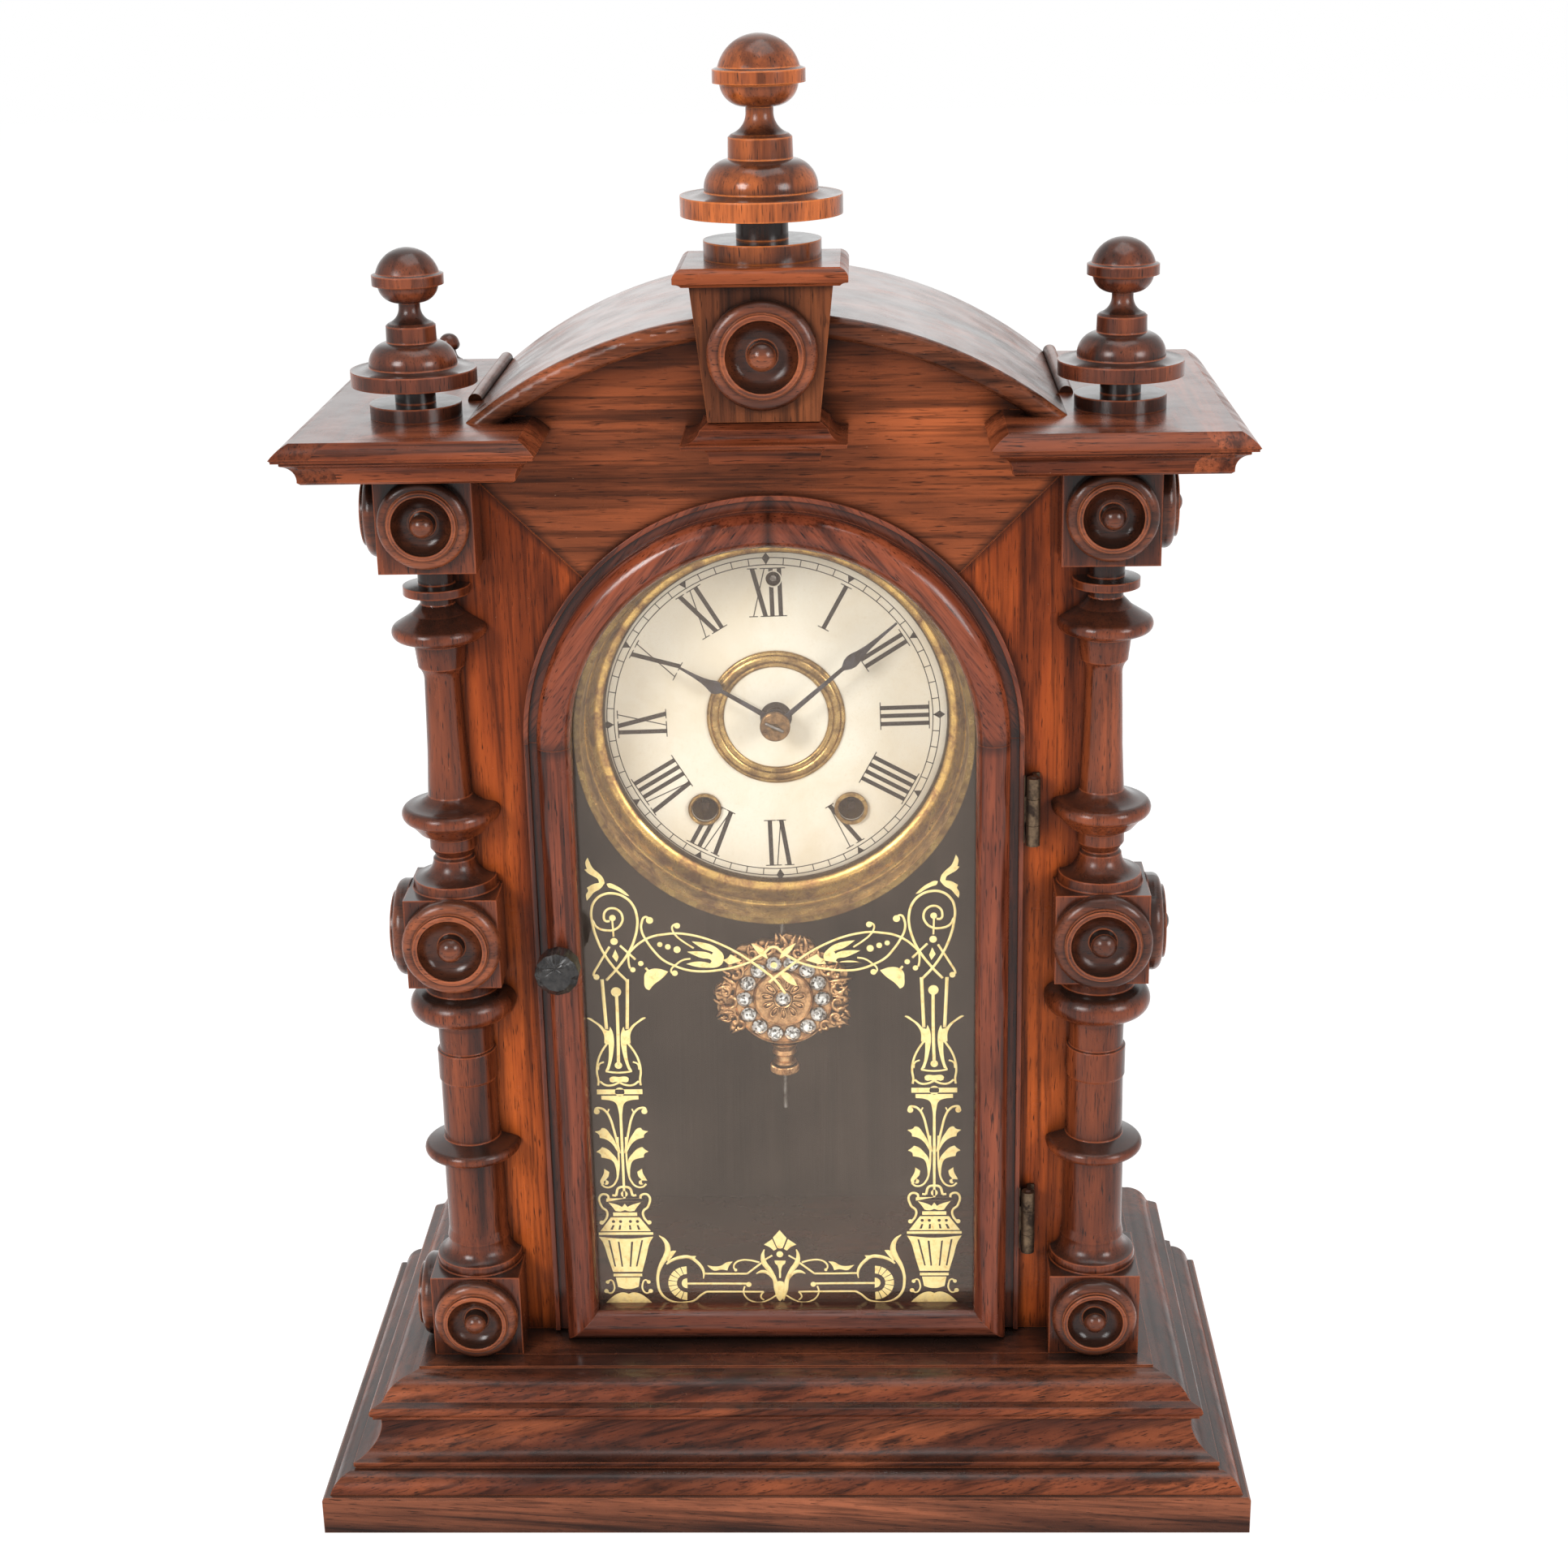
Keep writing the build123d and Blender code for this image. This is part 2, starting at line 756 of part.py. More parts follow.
glass_radius = rabbet_radius - loose_gap
glass_foot = rail_centre - glass_radius
with BuildPart() as door_glass:
    with BuildSketch(Plane.XZ.offset(-glass_front - glass_thickness)):
        with Locations((0, arch_centre)):
            Circle(glass_radius)
        with Locations((0, (arch_centre + glass_foot) / 2)):
            Rectangle(2 * glass_radius, arch_centre - glass_foot)
    extrude(amount=glass_thickness)
save("door_glass", door_glass.part)

# Door knob and turn latch
knob_radius = 7.7
knob_reach = 26.0
knob_front = frame_front - knob_reach
knob_length = 10.5
knob_sides = 12
knob_facet = 2.4
collar_radius = 5.2
collar_taper = 12
tongue_length = 15.0
tongue_width = 6.0
tongue_thickness = 1.6
latch_gap = 0.4
knob_back = knob_front + knob_length
collar_length = crest_front - knob_back - loose_gap
tongue_front = frame_back + latch_gap
with BuildPart() as door_knob:
    with BuildSketch(upright(knob_back, latch_x, latch_height)):
        RegularPolygon(knob_radius, knob_sides)
    extrude(amount=knob_length)
    chamfer(door_knob.faces().sort_by(Axis.Y)[0].edges(), knob_facet)
    chamfer(door_knob.faces().sort_by(Axis.Y)[-1].edges(), knob_facet / 2)
save("door_knob", door_knob.part)

with BuildPart() as knob_collar:
    with BuildSketch(upright(crest_front, latch_x, latch_height)):
        Circle(collar_radius)
    extrude(amount=collar_length, taper=collar_taper)
    with BuildSketch(upright(crest_front, latch_x, latch_height)):
        Circle(spindle_radius + running_fit)
    extrude(amount=collar_length, mode=Mode.SUBTRACT)
save("knob_collar", knob_collar.part)

with BuildPart() as latch_tongue:
    with BuildSketch(upright(tongue_front, latch_x, latch_height)):
        Circle(spindle_radius)
    extrude(amount=tongue_front - knob_back)
    with BuildSketch(upright(tongue_front + tongue_thickness, latch_x, latch_height)):
        with Locations((0, (tongue_length - tongue_width / 2) / 2)):
            SlotCenterToCenter(tongue_length - tongue_width / 2, tongue_width, rotation=90)
    extrude(amount=tongue_thickness)
save("latch_tongue", latch_tongue.part)

# Hinges: a leaf on the edge of the door's lip, a leaf on the frame and a pin through three knuckles
hinge_set_out = 3.0
hinge_reach = 6.0
hinge_x = lip_radius + hinge_set_out
hinge_y = frame_front - hinge_reach
knuckle_radius = 2.4
pin_radius = 0.9
leaf_thickness = 1.0
case_leaf_width = 2.4
hinge_height = 24.4
hinge_lows = (83.9, 241.8)
middle_share = 0.4
web_width = 1.2
hinge_slack = 0.15

knuckle_length = hinge_height * (1 - middle_share) / 2
middle_length = hinge_height * middle_share - 2 * hinge_slack


def knuckle(low, radius):
    """The round outline of a hinge's knuckle, pin or bore, at a height."""
    with BuildSketch(Plane.XY.offset(low)) as outline:
        with Locations((hinge_x, hinge_y)):
            Circle(radius)
    return outline.sketch


def bar(low, x_from, x_to, y_from, y_to):
    """The outline of an upright flat bar between two X and two Y values, at a height."""
    with BuildSketch(Plane.XY.offset(low)) as outline:
        with Locations(((x_from + x_to) / 2, (y_from + y_to) / 2)):
            Rectangle(x_to - x_from, y_to - y_from)
    return outline.sketch


leaf_front = lip_front - leaf_thickness
leaf_clear = hinge_x - knuckle_radius - loose_gap
with BuildPart() as hinge_door_leaves:
    for low in hinge_lows:
        middle_low = low + knuckle_length + hinge_slack
        extrude(bar(low, lip_radius, leaf_clear, leaf_front, lip_back), amount=hinge_height)
        extrude(bar(middle_low, lip_radius, hinge_x, leaf_front, lip_front), amount=middle_length)
        extrude(knuckle(middle_low, knuckle_radius), amount=middle_length)
        bore = knuckle(middle_low, pin_radius + running_fit)
        extrude(bore, amount=middle_length, mode=Mode.SUBTRACT)
save("hinge_door_leaves", hinge_door_leaves.part)

leaf_face = frame_front - leaf_thickness
with BuildPart() as hinge_case_leaves:
    for low in hinge_lows:
        leaf = bar(low, hinge_x, hinge_x + case_leaf_width, leaf_face, frame_front)
        extrude(leaf, amount=hinge_height)
        for knuckle_low in (low, low + hinge_height - knuckle_length):
            web = bar(knuckle_low, hinge_x, hinge_x + web_width, hinge_y, leaf_face)
            extrude(web, amount=knuckle_length)
            extrude(knuckle(knuckle_low, knuckle_radius), amount=knuckle_length)
            bore = knuckle(knuckle_low, pin_radius)
            extrude(bore, amount=knuckle_length, mode=Mode.SUBTRACT)
save("hinge_case_leaves", hinge_case_leaves.part)

with BuildPart() as hinge_pins:
    for low in hinge_lows:
        extrude(knuckle(low, pin_radius), amount=hinge_height)
save("hinge_pins", hinge_pins.part)

# Dial, its brass pan, centre ring and winding grommets
dial_set_back_share = 0.494048
dial_front = front + clock_depth * dial_set_back_share
dial_thickness = 0.8
dial_radius = 61.5
paper_radius = 60.5
centre_hole_radius = 3.7
winding_x = 26.0
winding_drop = 34.0
winding_hole_radius = 4.6
grommet_radius = 5.9
grommet_height = 1.4
regulator_rise = 50.0
regulator_hole_radius = 2.6
centre_ring_outer = 24.3
centre_ring_inner = 18.35
centre_ring_height = 1.6
pan_rim_radius = 69.0
pan_clearance = 2.0
pan_rim_front = glass_front + glass_thickness + pan_clearance
pan_sheet = 0.7
pan_bead = 2.2
ear_width = 14.0
ear_reach = 97.0
ear_thickness = 1.0
winding_height = arch_centre - winding_drop
dial_back = dial_front + dial_thickness

dial_axis = Axis((0, 0, arch_centre), (0, 1, 0))
dial_plane = upright(dial_back, 0, arch_centre)
hole_places = ((-winding_x, -winding_drop), (winding_x, -winding_drop))
with BuildPart() as dial_plate:
    with BuildSketch(dial_plane):
        Circle(dial_radius)
        Circle(centre_hole_radius, mode=Mode.SUBTRACT)
        with Locations(*hole_places):
            Circle(winding_hole_radius, mode=Mode.SUBTRACT)
        with Locations((0, regulator_rise)):
            Circle(regulator_hole_radius, mode=Mode.SUBTRACT)
    extrude(amount=dial_thickness)
save("dial_plate", dial_plate.part)

pan_floor = paper_radius + pan_bead
pan_shares = [(0, 0, 0), (0.3, 0.22, -0.3), (0.54, 0.5, 0.1), (0.66, 0.55, 0)]
with BuildPart() as bezel_pan:
    with BuildSketch(Plane.XY.offset(arch_centre)):
        with BuildLine():
            wall_reach = pan_rim_radius - paper_radius
            wall_rise = pan_rim_front - dial_front
            wall = moulding_run(pan_shares, (paper_radius, dial_front), wall_reach, wall_rise)
            Polyline(
                wall[-1],
                (pan_rim_radius - pan_bead, pan_rim_front + pan_bead),
                (pan_rim_radius - pan_bead, pan_rim_front),
                (pan_rim_radius, pan_rim_front),
                (pan_rim_radius, pan_rim_front + pan_bead),
                (pan_floor + pan_sheet, dial_back),
                (dial_radius, dial_back),
                (dial_radius, dial_front),
                (paper_radius, dial_front),
            )
        make_face()
    revolve(axis=dial_axis)
    ear_plane = upright(dial_back + ear_thickness, 0, arch_centre)
    with BuildSketch(ear_plane):
        Rectangle(2 * ear_reach, ear_width)
        Circle(paper_radius, mode=Mode.SUBTRACT)
    extrude(amount=ear_thickness)
save("bezel_pan", bezel_pan.part)

cleat_depth = 13.0
cleat_width = 22.0
cleat_height = 30.0
case_inner = case_half_width - side_thickness
ear_back = dial_back + ear_thickness
with BuildPart() as dial_cleats:
    with BuildSketch(upright(ear_back + cleat_depth, 0, arch_centre)):
        with Locations((case_inner - cleat_width / 2, 0)):
            Rectangle(cleat_width, cleat_height)
    extrude(amount=cleat_depth)
    mirror(about=Plane.YZ)

ring_shares = [(0, 0, 0), (0.2, 0.45, -0.3), (0.28, 0.5, 0), (0.74, 0.8, -0.24), (0.8, 0.6, 0), (1, 0, -0.3)]
with BuildPart() as centre_ring:
    with BuildSketch(Plane.XY.offset(arch_centre)):
        with BuildLine():
            ring_foot = (centre_ring_inner, dial_front)
            ring_width = centre_ring_outer - centre_ring_inner
            crown = moulding_run(ring_shares, ring_foot, ring_width, -centre_ring_height)
            Line(crown[-1], crown[0])
        make_face()
    revolve(axis=dial_axis)

with BuildPart() as winding_grommets:
    with BuildSketch(upright(dial_front, 0, arch_centre)):
        with Locations(*hole_places):
            Circle(grommet_radius)
            Circle(winding_hole_radius, mode=Mode.SUBTRACT)
    extrude(amount=grommet_height)
    chamfer(winding_grommets.faces().sort_by(Axis.Y)[0].edges(), grommet_height / 3)
save("dial_rings", centre_ring.part, winding_grommets.part)

# Movement: two plates joined by pillars, on feet against the back board
plate_half_width = 50.0
plate_low = 221.0
plate_high = 331.0
plate_thickness = 2.0
plate_set_back = 18.2
front_plate_y = dial_back + plate_set_back
plate_spacing = 28.0
pillar_radius = 3.0
pillar_inset = 5.0
arbor_radius = 1.3
thin_arbor_radius = 0.7
hammer_arbor_radius = 1.0
regulator_radius = 1.1
pivot_gap = 0.05
rear_plate_y = front_plate_y + plate_thickness + plate_spacing
rear_plate_back = rear_plate_y + plate_thickness


def meet(near, far, near_reach, far_reach, side):
    """The point at given reaches from two points, on one side of the line between them."""
    span = math.dist(near, far)
    along = (span**2 + near_reach**2 - far_reach**2) / (2 * span)
    across = side * math.sqrt(near_reach**2 - along**2)
    step_x = (far[0] - near[0]) / span
    step_z = (far[1] - near[1]) / span
    return (near[0] + step_x * along - step_z * across, near[1] + step_z * along + step_x * across)


# Going train: teeth and modules, and the arbors' places measured from the hands' centre
great_teeth = 72
second_pinion_leaves = 9
second_teeth = 60
centre_pinion_leaves = 10
centre_teeth = 75
third_pinion_leaves = 6
third_teeth = 72
escape_pinion_leaves = 6
escape_teeth = 30
great_module = 0.6
centre_module = 0.4444
third_module = 0.4026
escape_rise = 26.0
verge_rise = 41.5
suspension_rise = 46.0
centre_place = (0, arch_centre)
time_place = (winding_x, winding_height)
strike_place = (-winding_x, winding_height)
escape_place = (0, arch_centre + escape_rise)
verge_place = (0, arch_centre + verge_rise)
second_place = meet(
    centre_place,
    time_place,
    (second_teeth + centre_pinion_leaves) * great_module / 2,
    (great_teeth + second_pinion_leaves) * great_module / 2,
    1,
)
third_place = meet(
    centre_place,
    escape_place,
    (centre_teeth + third_pinion_leaves) * centre_module / 2,
    (third_teeth + escape_pinion_leaves) * third_module / 2,
    1,
)

plate_middle = (plate_low + plate_high) / 2
plate_height = plate_high - plate_low
regulator_place = (0, arch_centre + regulator_rise)
hammer_place = (-38.0, 276.0)
pivots = [
    (time_place, arbor_radius),
    (strike_place, arbor_radius),
    (centre_place, arbor_radius),
    (second_place, arbor_radius),
    (third_place, thin_arbor_radius),
    (escape_place, thin_arbor_radius),
    (verge_place, arbor_radius),
    (regulator_place, regulator_radius),
    (hammer_place, hammer_arbor_radius),
]
pillar_x = plate_half_width - pillar_inset
pillar_places = [
    (side * pillar_x, plate_middle + level * (plate_height / 2 - pillar_inset))
    for side in (-1, 1)
    for level in (-1, 1)
]


with BuildPart() as movement_plates:
    for plate_back in (front_plate_y + plate_thickness, rear_plate_back):
        with BuildSketch(upright(plate_back)):
            with Locations((0, plate_middle)):
                Rectangle(2 * plate_half_width, plate_height)
            for place, radius in pivots:
                with Locations(place):
                    Circle(radius + pivot_gap, mode=Mode.SUBTRACT)
        extrude(amount=plate_thickness)
save("movement_plates", movement_plates.part)

suspension_post_radius = 1.0
rod_stand_off = 5.0
rod_y = front_plate_y - rod_stand_off
rod_radius = 0.9
minute_post_radius = 1.2
motion_module = 0.5
cannon_teeth = 12
minute_wheel_teeth = 36
minute_pinion_leaves = 10
hour_wheel_teeth = 40
wheel_thickness = 1.5
addendum_share = 0.7
leaf_length = 3.0
shoulder_gap = 0.3
motion_reach = (cannon_teeth + minute_wheel_teeth) * motion_module / 2
hour_module = 2 * motion_reach / (minute_pinion_leaves + hour_wheel_teeth)
minute_place = (motion_reach, arch_centre)
suspension_place = (0, arch_centre + suspension_rise)
eye_thickness = 2 * rod_radius
post_front = rod_y - eye_thickness
minute_wheel_stand_off = 12.0
minute_wheel_y = front_plate_y - minute_wheel_stand_off
hour_wheel_y = minute_wheel_y - leaf_length
with BuildPart() as plate_pillars:
    with BuildSketch(upright(rear_plate_y)):
        with Locations(*pillar_places):
            Circle(pillar_radius)
    extrude(amount=plate_spacing)
    with BuildSketch(upright(back_inner)):
        with Locations(*pillar_places):
            Circle(pillar_radius)
    extrude(amount=back_inner - rear_plate_back)

with BuildPart() as plate_posts:
    with BuildSketch(upright(front_plate_y)):
        with Locations(suspension_place):
            Circle(suspension_post_radius)
    extrude(amount=front_plate_y - post_front)
    with BuildSketch(upright(front_plate_y)):
        with Locations(minute_place):
            Circle(minute_post_radius)
    extrude(amount=front_plate_y - hour_wheel_y)
save("plate_pillars", plate_pillars.part, plate_posts.part)


def toothed(teeth, module, thickness, tooth_share, turn):
    """A toothed wheel about Z that stands on the origin, turned by a share of one tooth."""
    pitch_radius = teeth * module / 2
    root_radius = pitch_radius - module
    tip_radius = pitch_radius + addendum_share * module
    step = 360 / teeth
    root_share = tooth_share / 2
    with BuildPart() as wheel:
        with BuildSketch():
            with BuildLine():
                corners = []
                for tooth in range(teeth):
                    middle = (tooth + turn) * step
                    for radius, share in (
                        (root_radius, -root_share),
                        (tip_radius, 0),
                        (root_radius, root_share),
                    ):
                        angle = math.radians(middle + share * step)
                        corners.append((radius * math.cos(angle), radius * math.sin(angle)))
                Polyline(*corners, close=True)
            make_face()
        extrude(amount=thickness)
    return wheel.part


def shaft(place, radius, y_front, y_back):
    """A plain round shaft along Y."""
    with BuildPart() as rod:
        with BuildSketch(upright(y_back, *place)):
            Circle(radius)
        extrude(amount=y_back - y_front)
    return rod.part


def wheel_at(wheel, place, y_back):
    """A location that sets a wheel's own Z along the clock's forward direction."""
    return upright(y_back, *place).location * wheel


wheel_tooth_share = 0.8
pinion_tooth_share = 0.55
great_wheel_set_back = 24.5
second_wheel_set_back = 27.5
centre_wheel_set_back = 17.5
third_wheel_set_back = 11.5
escape_wheel_set_back = 7.5
great_wheel_y = front_plate_y + great_wheel_set_back
second_wheel_y = front_plate_y + second_wheel_set_back
centre_wheel_y = front_plate_y + centre_wheel_set_back
third_wheel_y = front_plate_y + third_wheel_set_back
escape_wheel_y = front_plate_y + escape_wheel_set_back
long_leaf = 5.0
spring_radius = 18.0
spring_core = 4.0
spring_depth = 13.0
winding_square = 2.6
winding_set_back = 2.2
winding_front = dial_back + winding_set_back
pivot_end = rear_plate_back
front_end = front_plate_y


def phase(place_from, place_to, teeth):
    """The turn, in shares of a tooth, that points a tooth from one place to another."""
    angle = math.degrees(math.atan2(place_to[1] - place_from[1], place_to[0] - place_from[0]))
    return angle * teeth / 360


great_wheel = toothed(
    great_teeth,
    great_module,
    wheel_thickness,
    wheel_tooth_share,
    phase(time_place, second_place, great_teeth),
)
with BuildPart() as great_wheel_time:
    add(wheel_at(great_wheel, time_place, great_wheel_y))
    with BuildSketch(upright(great_wheel_y, *time_place)):
        Circle(arbor_radius + pivot_gap)
    extrude(amount=wheel_thickness, mode=Mode.SUBTRACT)
save("great_wheel_time", great_wheel_time.part)

with BuildPart() as great_wheel_strike:
    add(wheel_at(great_wheel, strike_place, great_wheel_y))
    with BuildSketch(upright(great_wheel_y, *strike_place)):
        Circle(arbor_radius + pivot_gap)
    extrude(amount=wheel_thickness, mode=Mode.SUBTRACT)
save("great_wheel_strike", great_wheel_strike.part)

for name, place in (("winding_arbor_time", time_place), ("winding_arbor_strike", strike_place)):
    with BuildPart() as winding_arbor:
        add(shaft(place, arbor_radius, winding_front + wheel_thickness, pivot_end))
        with BuildSketch(upright(front_plate_y - shoulder_gap, *place)):
            Rectangle(winding_square, winding_square)
        extrude(amount=front_plate_y - shoulder_gap - winding_front)
    save(name, winding_arbor.part)

with BuildPart() as mainsprings:
    with BuildSketch(upright(front_plate_y + plate_thickness + spring_depth)):
        with Locations(time_place, strike_place):
            Circle(spring_radius)
            Circle(spring_core, mode=Mode.SUBTRACT)
    extrude(amount=spring_depth)
save("mainsprings", mainsprings.part)


def train_arbor(place, radius, wheel, wheel_y, pinion, pinion_y, y_front=front_end):
    """An arbor through both plates with its wheel and its pinion."""
    with BuildPart() as arbor:
        add(shaft(place, radius, y_front, pivot_end))
        add(wheel_at(wheel, place, wheel_y))
        add(wheel_at(pinion, place, pinion_y))
    return arbor.part


def gap_phase(place_from, place_to, teeth):
    """The turn that points the gap between two teeth from one place to another."""
    return phase(place_from, place_to, teeth) + 1 / 2


second_wheel = toothed(
    second_teeth,
    great_module,
    wheel_thickness,
    wheel_tooth_share,
    phase(second_place, centre_place, second_teeth),
)
second_pinion = toothed(
    second_pinion_leaves,
    great_module,
    long_leaf,
    pinion_tooth_share,
    gap_phase(second_place, time_place, second_pinion_leaves),
)
second_pinion_y = second_wheel_y - wheel_thickness
save(
    "second_wheel",
    train_arbor(
        second_place, arbor_radius, second_wheel, second_wheel_y, second_pinion, second_pinion_y
    ),
)

centre_wheel = toothed(
    centre_teeth,
    centre_module,
    wheel_thickness,
    wheel_tooth_share,
    phase(centre_place, third_place, centre_teeth),
)
centre_pinion = toothed(
    centre_pinion_leaves,
    great_module,
    leaf_length,
    pinion_tooth_share,
    gap_phase(centre_place, second_place, centre_pinion_leaves),
)
cannon = toothed(
    cannon_teeth,
    motion_module,
    leaf_length,
    pinion_tooth_share,
    gap_phase(centre_place, minute_place, cannon_teeth),
)
centre_pinion_y = second_wheel_y + (leaf_length - wheel_thickness) / 2
cannon_y = minute_wheel_y + (leaf_length - wheel_thickness) / 2
hands_reach = 12.0
hands_front = dial_front - hands_reach
centre_shaft = train_arbor(
    centre_place,
    arbor_radius,
    centre_wheel,
    centre_wheel_y,
    centre_pinion,
    centre_pinion_y,
    hands_front,
)
with BuildPart() as centre_arbor:
    add(centre_shaft)
    add(wheel_at(cannon, centre_place, cannon_y))
save("centre_arbor", centre_arbor.part)

third_wheel = toothed(
    third_teeth,
    third_module,
    wheel_thickness,
    wheel_tooth_share,
    phase(third_place, escape_place, third_teeth),
)
third_pinion = toothed(
    third_pinion_leaves,
    centre_module,
    leaf_length,
    pinion_tooth_share,
    gap_phase(third_place, centre_place, third_pinion_leaves),
)
third_pinion_y = centre_wheel_y + (leaf_length - wheel_thickness) / 2
save(
    "third_wheel",
    train_arbor(
        third_place, thin_arbor_radius, third_wheel, third_wheel_y, third_pinion, third_pinion_y
    ),
)

escape_module = 0.84
escape_wheel_disc = toothed(escape_teeth, escape_module, wheel_thickness, wheel_tooth_share, 0)
escape_pinion = toothed(
    escape_pinion_leaves,
    third_module,
    leaf_length,
    pinion_tooth_share,
    gap_phase(escape_place, third_place, escape_pinion_leaves),
)
escape_pinion_y = third_wheel_y + (leaf_length - wheel_thickness) / 2
save(
    "escape_wheel",
    train_arbor(
        escape_place,
        thin_arbor_radius,
        escape_wheel_disc,
        escape_wheel_y,
        escape_pinion,
        escape_pinion_y,
    ),
)

# Verge: a bent steel strip over the escape wheel, with the crutch in front of the plate
pallet_reach = 10.0
pallet_drop = 4.2
pallet_strip = 0.8
pallet_width = 3.0
crutch_stand_off = 1.6
crutch_y = front_plate_y - crutch_stand_off
crutch_width = 1.6
crutch_thickness = 0.8
crutch_drop = 23.5
prong_radius = 0.6
prong_gap = 0.4
verge_back = escape_wheel_y + (pallet_width - wheel_thickness) / 2
with BuildPart() as verge:
    add(shaft(verge_place, arbor_radius, crutch_y - crutch_thickness, pivot_end))
    with BuildSketch(upright(verge_back, *verge_place)):
        with BuildLine():
            Polyline(
                (-pallet_reach, -pallet_drop),
                (-pallet_reach + pallet_strip, -pallet_drop),
                (0, -arbor_radius / 2),
                (pallet_reach - pallet_strip, -pallet_drop),
                (pallet_reach, -pallet_drop),
                (pallet_reach / 2, arbor_radius / 2),
                (0, arbor_radius),
                (-pallet_reach / 2, arbor_radius / 2),
                close=True,
            )
        make_face()
    extrude(amount=pallet_width)
    with BuildSketch(upright(crutch_y, *verge_place)):
        with Locations((0, -crutch_drop / 2)):
            Rectangle(crutch_width, crutch_drop)
        prong_place = rod_radius + prong_gap + prong_radius
        with Locations((0, -crutch_drop)):
            Rectangle(2 * (prong_place + prong_radius), crutch_width)
    extrude(amount=crutch_thickness)
    with BuildSketch(upright(crutch_y, *verge_place)):
        with Locations((-prong_place, -crutch_drop), (prong_place, -crutch_drop)):
            Circle(prong_radius)
    extrude(amount=crutch_y - rod_y + rod_radius)
save("verge", verge.part)

# Motion work: minute wheel on its post, hour wheel with a pipe round the centre arbor
minute_wheel = toothed(
    minute_wheel_teeth,
    motion_module,
    wheel_thickness,
    wheel_tooth_share,
    phase(minute_place, centre_place, minute_wheel_teeth),
)
minute_pinion = toothed(
    minute_pinion_leaves,
    hour_module,
    leaf_length + shoulder_gap,
    pinion_tooth_share,
    gap_phase(minute_place, centre_place, minute_pinion_leaves),
)
with BuildPart() as minute_wheel_piece:
    add(wheel_at(minute_wheel, minute_place, minute_wheel_y))
    add(wheel_at(minute_pinion, minute_place, minute_wheel_y - wheel_thickness))
    with BuildSketch(upright(minute_wheel_y, *minute_place)):
        Circle(minute_post_radius + running_fit)
    extrude(amount=wheel_thickness + leaf_length + shoulder_gap, mode=Mode.SUBTRACT)
save("minute_wheel", minute_wheel_piece.part)

hour_hand_reach = 5.0
hour_wheel_front = dial_front - hour_hand_reach
hour_pipe_radius = 2.9
hour_wheel_disc = toothed(
    hour_wheel_teeth,
    hour_module,
    wheel_thickness,
    wheel_tooth_share,
    phase(centre_place, minute_place, hour_wheel_teeth),
)
with BuildPart() as hour_wheel:
    add(wheel_at(hour_wheel_disc, centre_place, hour_wheel_y))
    add(shaft(centre_place, hour_pipe_radius, hour_wheel_front, hour_wheel_y))
    with BuildSketch(upright(hour_wheel_y, *centre_place)):
        Circle(arbor_radius + running_fit)
    extrude(amount=hour_wheel_y - hour_wheel_front, mode=Mode.SUBTRACT)
save("hour_wheel", hour_wheel.part)

# Hands: blued steel, each with a long lozenge below its tip
hand_thickness = 0.7
hour_hand_length = 38.5
minute_hand_length = 56.0
hour_hand_angle = 301.0
minute_hand_angle = 49.2
hand_swell = 4.7
hand_eye_radius = 4.4
hand_shares = [
    (0.0, 0.4),
    (0.56, 0.27),
    (0.6, 0.84),
    (0.63, 1.0),
    (0.66, 0.92),
    (0.7, 0.66),
    (0.76, 0.42),
    (0.85, 0.26),
    (1.0, 0.14),
]
arbor_tip = 1.5
minute_hand_front = hands_front + arbor_tip


def hand(length, angle, y_front, eye, bore):
    """A flat hand with a lozenge, turned clockwise from twelve."""
    with BuildPart() as blade:
        turn = math.radians(angle)
        origin = (0, y_front + hand_thickness, arch_centre)
        with BuildSketch(Plane(origin, x_dir=(math.cos(turn), 0, -math.sin(turn)), z_dir=(0, -1, 0))):
            with BuildLine():
                right = [(share * hand_swell / 2, up * length) for up, share in hand_shares]
                left = [(-x, z) for x, z in reversed(right)]
                Polyline(*right, *left, close=True)
            make_face()
            Circle(eye)
            Circle(bore, mode=Mode.SUBTRACT)
        extrude(amount=hand_thickness)
    return blade.part


save(
    "hour_hand",
    hand(hour_hand_length, hour_hand_angle, hour_wheel_front, hand_eye_radius, hour_pipe_radius),
)
save(
    "minute_hand",
    hand(minute_hand_length, minute_hand_angle, minute_hand_front, hand_eye_radius, arbor_radius),
)

collet_radius = 5.3
collet_height = 1.2
with BuildPart() as hand_collet:
    add(shaft(centre_place, collet_radius, minute_hand_front - collet_height, minute_hand_front))
    fillet(hand_collet.faces().sort_by(Axis.Y)[0].edges(), collet_height / 2)
    bore = shaft(centre_place, arbor_radius, minute_hand_front - collet_height, minute_hand_front)
    add(bore, mode=Mode.SUBTRACT)
save("hand_collet", hand_collet.part)

with BuildPart() as regulator_arbor:
    add(shaft(regulator_place, regulator_radius, dial_back, front_plate_y + plate_thickness))
save("regulator_arbor", regulator_arbor.part)

